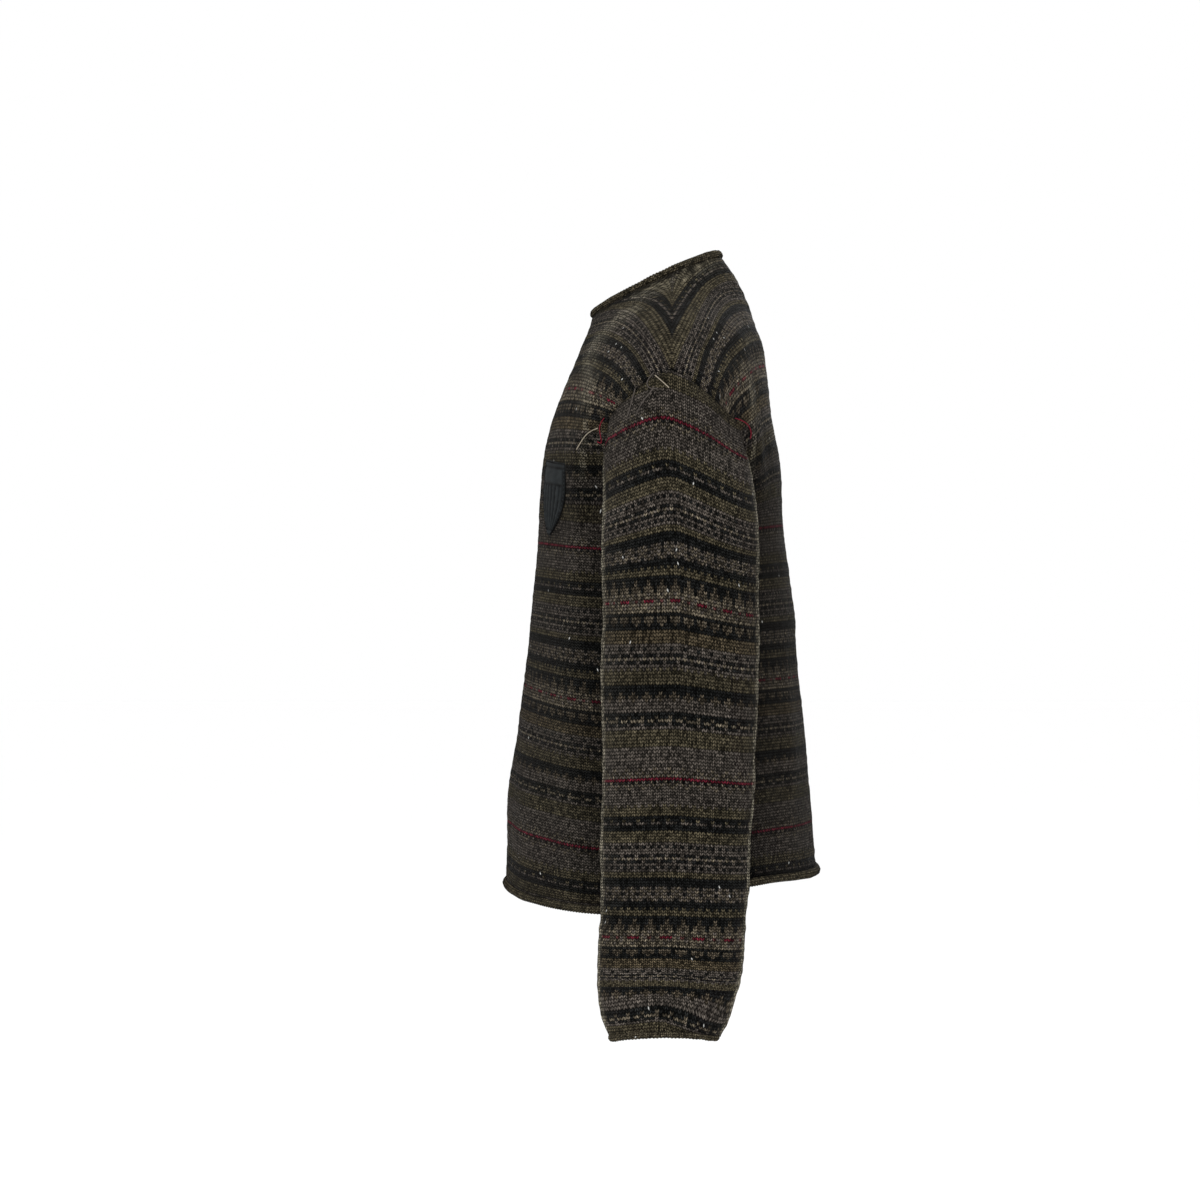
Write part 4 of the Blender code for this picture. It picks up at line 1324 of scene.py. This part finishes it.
CUFF_POINTS = 80
cuff_share = np.linspace(0, 1, CUFF_POINTS, endpoint=False)
cuff = sleeve_point(cuff_share, np.full(CUFF_POINTS, 1.0))
cuff_inside = sleeve_point(cuff_share, np.full(CUFF_POINTS, 0.97))
cuff_run = np.roll(cuff, -1, axis=0) - np.roll(cuff, 1, axis=0)
cuff_out = unit(np.cross(cuff_run, cuff - cuff_inside))
cuff_out *= np.sign(np.median(np.sum(cuff_out * (cuff - cuff.mean(axis=0)), axis=1)))
mirror = np.array([-1, 1, 1])
cuff_left = rolled_edge("cuff_left_edge", cuff, cuff_out, cuff_inside, CUFF_ROLL_RADIUS, 0.15, 13)
cuff_right = rolled_edge("cuff_right_edge", cuff * mirror, cuff_out * mirror,
                         cuff_inside * mirror, CUFF_ROLL_RADIUS, 0.15, 14)

# %% [markdown]
# ## The chest patch
#
# A small shield of dark, leather-like stuff is sewn to the wearer's left chest, with a border,
# a line across and plain flutes pressed into it. It could be a flat plate bent over the
# chest, but it has to follow the knitting closely, so its points are found on the front's own
# surface and moved out. Its corner colours paint shade into the pressed lines and light onto the
# plain face.

# %% Leather
def worn_leather(name, colour, painted_relief_light=None):
    """Rubbed leather; the named map, if there is one, holds the painted light and shade of its
    pressed form.
    """
    leather = bpy.data.materials.new(name)
    leather.use_nodes = True
    tree = leather.node_tree
    shader = tree.nodes["Principled BSDF"]
    shader.inputs["Specular IOR Level"].default_value = 0.04
    grain = noise_value(tree, 700, 4.0)
    rubbed = noise_value(tree, 60, 3.0)
    light = calculate(
        tree, "MULTIPLY", ranged(tree, grain, 0.7, 1.3), ranged(tree, rubbed, 0.6, 1.5))
    colour = mix_colours(tree, 1.0, (*colour, 1), grey(tree, light), "MULTIPLY")
    if painted_relief_light:
        colour = mix_colours(tree, 1.0, colour, corner_colour(tree, painted_relief_light), "MULTIPLY")
    tree.links.new(colour, shader.inputs["Base Color"])
    tree.links.new(ranged(tree, rubbed, 0.60, 0.9), shader.inputs["Roughness"])
    tree.links.new(bumped(tree, grain, 0.0004, 0.5), shader.inputs["Normal"])
    return leather


YARN_ROUGHNESS = 0.9


def plain_yarn(name, colour):
    """Twisted thread in one colour, for seams, tails and sewing."""
    yarn = worn_leather(name, colour)
    shader = yarn.node_tree.nodes["Principled BSDF"]
    for link in list(shader.inputs["Roughness"].links):
        yarn.node_tree.links.remove(link)
    shader.inputs["Roughness"].default_value = YARN_ROUGHNESS
    shader.inputs["Specular IOR Level"].default_value = 0.03
    return yarn


patch_leather = worn_leather("patch_leather", (0.0076, 0.0088, 0.0093), "painted_relief_light")
dark_thread = plain_yarn("dark_thread", (0.004, 0.004, 0.004))
print("leather nodes:", len(patch_leather.node_tree.nodes))

# %% The shield
PATCH_WIDTH = 0.066
PATCH_HEIGHT = 0.0715
PATCH_THICKNESS = 0.0022
PATCH_TOP_HEIGHT = -0.1875
PATCH_FROM_MIDDLE = 0.1145
PATCH_TILT = 0.09
PATCH_SHOULDER = 0.32
PATCH_TIP_SHARE = 0.975
PATCH_SIDE_CURVE = 1.9
BORDER_INSET = 0.16        # of the half width, from the edge to the pressed border
BAND_FALL = 0.30           # of the height, down to the pressed line across
FLUTE_COUNT = 3.5          # pressed flutes below that line, on each side of the middle
LINE_DEPTH = 0.0009
FLUTE_DEPTH = 0.0008
GRAIN_HEIGHT = 0.0004
GRAIN_SIZE = 0.004
CHEST_GAP = 0.0003
LEATHER_THICKNESS = 0.0012
RELIEF_LIGHT = 1.25        # painted light on the plain face
RELIEF_DEPTH = 0.0009      # a line this deep is painted darker by 1
RELIEF_RANGE = (0.15, 1.5)


def shield_half_width(down):
    below = np.clip((down - PATCH_SHOULDER) / (1 - PATCH_SHOULDER), 0, 1)
    return PATCH_WIDTH / 2 * (1 - below ** PATCH_SIDE_CURVE)


def on_chest(from_middle, height):
    """Points on the front and their outward directions, at distances round from the middle."""
    fine = np.linspace(0, math.pi / 2, 241)
    turns = []
    for distance, level in zip(from_middle, height):
        length = running_length(body_point(-1, fine, np.full_like(fine, level)))
        turns.append(np.interp(distance, length, fine))
    turns = np.array(turns)
    return body_point(-1, turns, height), body_normal(-1, turns, height)


def on_shield(side, down):
    """Chest points under the shield, at a share of its half width and of its height."""
    sideways = side * shield_half_width(down)
    fall = down * PATCH_HEIGHT
    return on_chest(PATCH_FROM_MIDDLE + sideways - PATCH_TILT * fall,
                    PATCH_TOP_HEIGHT - fall - PATCH_TILT * sideways)


def pressed_form(side, down, rim, chest):
    """How far the leather lies above its plain face; pressed lines lie below it."""
    inside = np.clip((rim - BORDER_INSET) / 0.08, 0, 1)
    below_line = np.clip((down - BAND_FALL) / 0.03, 0, 1)
    flutes = (0.5 + 0.5 * np.cos(2 * math.pi * side * FLUTE_COUNT)) ** 2
    grain = np.array([noise.noise(Vector((*place, 2.0)) / GRAIN_SIZE) for place in chest[:, 1:]])
    lines = hump(rim, 0.05) + hump(rim - BORDER_INSET, 0.035)
    lines = lines + inside * hump(down - BAND_FALL, 0.020)
    return GRAIN_HEIGHT * grain - LINE_DEPTH * lines - FLUTE_DEPTH * inside * below_line * flutes


# %% Press the shield
shield = bmesh.new()
bmesh.ops.create_grid(shield, x_segments=64, y_segments=72, size=1.0)
flat = flat_places(shield)
side, down = flat[:, 0], (1 - flat[:, 1]) / 2 * PATCH_TIP_SHARE
chest, chest_out = on_shield(side, down)
rim = np.minimum(1 - np.abs(side), 1 - np.abs(flat[:, 1]))
pressed = pressed_form(side, down, rim, chest)
wear(shield, chest + chest_out * (CHEST_GAP + PATCH_THICKNESS + pressed)[:, None])
# Painted shade in the pressed lines and painted light on the plain face, kept as corner colours.
painted_relief_light = shield.loops.layers.float_color.new("painted_relief_light")
bright = np.clip(RELIEF_LIGHT + pressed / RELIEF_DEPTH, *RELIEF_RANGE)
for face in shield.faces:
    for corner in face.loops:
        corner[painted_relief_light] = (*[bright[corner.vert.index]] * 3, 1)
patch = make_piece("patch", shield, patch_leather)
shell = patch.modifiers.new("thickness", "SOLIDIFY")
shell.thickness = LEATHER_THICKNESS
shell.offset = -1
print("faces of the patch:", len(patch.data.polygons))

# %% Sewing round the shield
STITCH_LENGTH = 0.0032
STITCH_SPACING = 1.25      # from one stitch to the next, in stitch lengths
STITCH_SCALE = (STITCH_LENGTH * 0.52, 0.0006, 0.00055)
SEWING_INSET = 0.94
SIDE_POINTS = 60
TOP_POINTS = 40
TIP_POINTS = 8
side = np.concatenate([np.linspace(-1, 1, TOP_POINTS), np.ones(SIDE_POINTS),
                       np.linspace(1, -1, TIP_POINTS), -np.ones(SIDE_POINTS)])
fall = np.concatenate([np.zeros(TOP_POINTS), np.linspace(0, 1, SIDE_POINTS),
                       np.ones(TIP_POINTS), np.linspace(1, 0, SIDE_POINTS)])
loop_points, loop_out = on_shield(SEWING_INSET * side, 0.02 + 0.94 * fall)
length = running_length(loop_points)


def on_loop(values, place):
    """The loop's value at a length along it."""
    return Vector([np.interp(place, length, values[:, axis]) for axis in range(3)])


sewing = bmesh.new()
count = round(length[-1] / (STITCH_LENGTH * STITCH_SPACING))
for number in range(count):
    low, middle, high = [(number + part) * length[-1] / count for part in (0.1, 0.5, 0.9)]
    made = bmesh.ops.create_icosphere(sewing, subdivisions=1, radius=1)
    bmesh.ops.scale(sewing, vec=STITCH_SCALE, verts=made["verts"])
    run = (on_loop(loop_points, high) - on_loop(loop_points, low)).normalized()
    bmesh.ops.rotate(sewing, matrix=run.to_track_quat("X", "Z").to_matrix(), verts=made["verts"])
    place = on_loop(loop_points, middle) + on_loop(loop_out, middle) * PATCH_THICKNESS
    bmesh.ops.translate(sewing, vec=place, verts=made["verts"])
patch_sewing = make_piece("patch_sewing", sewing, dark_thread)
print("stitches round the patch:", count)

# %% [markdown]
# ## Yarn tails
#
# Where yarns were joined at the armhole, short ends and small loops were left hanging. Each
# one is a thin round curve laid on the knitting.

# %% Loose ends
tail_yarns = {
    "r": plain_yarn("tail_red", (0.085, 0.007, 0.013)),
    "c": plain_yarn("tail_cream", (0.15, 0.13, 0.10)),
    "g": plain_yarn("tail_grey", (0.042, 0.036, 0.032)),
}


TAIL_RADIUS = 0.0005
TAIL_LIFT = 0.0022         # from the body's surface to the middle of a tail


def yarn_tail(name, points, yarn):
    line = bpy.data.curves.new(name, "CURVE")
    line.dimensions = "3D"
    line.bevel_depth = TAIL_RADIUS
    line.bevel_resolution = 2
    line.use_fill_caps = True
    spline = line.splines.new("NURBS")
    spline.points.add(len(points) - 1)
    spline.use_endpoint_u = True
    spline.order_u = 3
    for spot, point in zip(spline.points, points):
        spot.co = (*point, 1)
    made = bpy.data.objects.new(name, line)
    bpy.context.scene.collection.objects.link(made)
    line.materials.append(tail_yarns[yarn])
    return made


def near_armhole(panel, y, height):
    """A point just outside the body's surface beside the left armhole."""
    reach = body_value("front_reach" if y < 0 else "back_reach", height)
    turn = np.arccos(np.clip(abs(y) / reach, 0, 1) ** (body_value("squareness", height) / 2))
    place = (panel.face, np.array([turn]), np.array([height]))
    return body_point(*place)[0] + body_normal(*place)[0] * TAIL_LIFT


TAILS = (
    ("tail_front_red", front_map, "r", ((-0.062, -0.150), (-0.067, -0.156), (-0.066, -0.166),
                                        (-0.065, -0.174), (-0.069, -0.171))),
    ("tail_front_cream", front_map, "c", ((-0.068, -0.159), (-0.074, -0.161), (-0.080, -0.169),
                                          (-0.084, -0.178))),
    ("tail_back_red", back_map, "r", ((0.058, -0.150), (0.066, -0.152), (0.071, -0.162),
                                      (0.070, -0.168))),
)
CAP_TAILS = (
    ("tail_cap_cream", "c", ((-0.0155, -0.1135), (-0.0100, -0.1180), (-0.0027, -0.1253))),
    ("tail_cap_loop", "g", ((-0.0164, -0.1107), (-0.0245, -0.1190), (-0.0200, -0.1271),
                            (-0.0127, -0.1253))),
    ("tail_cap_long", "g", ((-0.0164, -0.1235), (-0.0200, -0.1307), (-0.0264, -0.1362),
                            (-0.0327, -0.1489))),
    ("tail_cap_side", "g", ((-0.0336, -0.1253), (-0.0355, -0.1326), (-0.0400, -0.1489))),
)
NEARBY = 0.004


def outside_at(y, height):
    """A point just outside whatever lies outermost on the wearer's left at a place."""
    reach = max(vert.co.x for piece in (front, back, sleeve_left) for vert in piece.data.vertices
                if abs(vert.co.y - y) < NEARBY and abs(vert.co.z - height) < NEARBY)
    return (reach + TAIL_RADIUS, y, height)


tails = []
for name, panel, yarn, places in TAILS:
    points = [near_armhole(panel, y, np.float64(height)) for y, height in places]
    tails.append(yarn_tail(name, points, yarn))
for name, yarn, places in CAP_TAILS:
    tails.append(yarn_tail(name, [outside_at(*place) for place in places], yarn))
print("tails:", [tail.name for tail in tails])

# %% [markdown]
# ## Each piece takes its place
#
# Every piece rides on the part's one body, and the solid that a piece stands for is hidden.

# %% Ride and replace
standing_for = (
    (front, ("front",), "knit"),
    (back, ("back",), "knit"),
    (sleeve_left, ("sleeve_left",), "knit"),
    (sleeve_right, ("sleeve_right",), "knit"),
    (neck_edge, ("neck_roll",), "rolled_knit"),
    (hem_edge, ("hem_roll",), "rolled_knit"),
    (cuff_left, ("cuff_roll_left",), "rolled_knit"),
    (cuff_right, ("cuff_roll_right",), "rolled_knit"),
    (patch, ("chest_patch",), "patch_leather"),
    (patch_sewing, (), "patch_leather"),
)
for piece, nodes, finish in standing_for:
    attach(piece, "root")
    if nodes:
        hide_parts(*nodes)
for tail in tails:
    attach(tail, "root")

# %% [markdown]
# ## Floor, light and camera
#
# The sweater is shown against plain white, so the floor and the surroundings are pale and
# bright. Large soft lights stand in front and above, as in a small studio. The camera looks
# at the wearer's left side, level with the middle of the sweater.

# %% Floor
FLOOR_HEIGHT = -1.45
FLOOR_SIZE = 40
pale = bpy.data.materials.new("pale_floor")
pale.use_nodes = True
shader = pale.node_tree.nodes["Principled BSDF"]
shader.inputs["Base Color"].default_value = (1, 1, 1, 1)
shader.inputs["Roughness"].default_value = 0.9
ground = bmesh.new()
bmesh.ops.create_grid(ground, x_segments=1, y_segments=1, size=FLOOR_SIZE)
bmesh.ops.translate(ground, vec=(0, 0, FLOOR_HEIGHT), verts=ground.verts)
floor = make_piece("floor", ground, pale)
print("floor at %.2f m" % FLOOR_HEIGHT)

# %% Light
world = bpy.data.worlds.new("white_studio")
world.use_nodes = True
world.node_tree.nodes["Background"].inputs["Color"].default_value = (1, 1, 1, 1)
world.node_tree.nodes["Background"].inputs["Strength"].default_value = 1.0
bpy.context.scene.world = world
bpy.context.scene.view_settings.view_transform = "Standard"
bpy.context.scene.view_settings.look = "None"

LIGHTS = (
    ("key", (3.6, -0.5, 1.0), 1.2, 120),
    ("fill", (3.2, 1.2, -0.3), 1.2, 12),
    ("top", (0.6, -0.2, 2.2), 1.5, 40),
    ("far_side", (-3.4, 0.6, 0.9), 1.4, 100),
)
aim = Vector((0, 0, -0.35))
for name, place, size, power in LIGHTS:
    lamp = bpy.data.lights.new(name, "AREA")
    lamp.shape = "SQUARE"
    lamp.size = size
    lamp.energy = power
    stand = bpy.data.objects.new(name, lamp)
    stand.location = place
    stand.rotation_mode = "QUATERNION"
    stand.rotation_quaternion = (aim - Vector(place)).to_track_quat("-Z", "Y")
    bpy.context.scene.collection.objects.link(stand)

# %% Camera
CAMERA_DISTANCE = 3.8
CAMERA_HEIGHT = -0.318
VIEW_WIDTH = 1.164
SENSOR = 36
camera = bpy.data.cameras.new("camera")
camera.sensor_width = SENSOR
camera.lens = SENSOR * CAMERA_DISTANCE / VIEW_WIDTH
camera.shift_x = -0.06
camera_object = bpy.data.objects.new("camera", camera)
camera_object.location = (CAMERA_DISTANCE, 0, CAMERA_HEIGHT)
camera_object.rotation_euler = (math.pi / 2, 0, math.pi / 2)
bpy.context.scene.collection.objects.link(camera_object)
bpy.context.scene.camera = camera_object
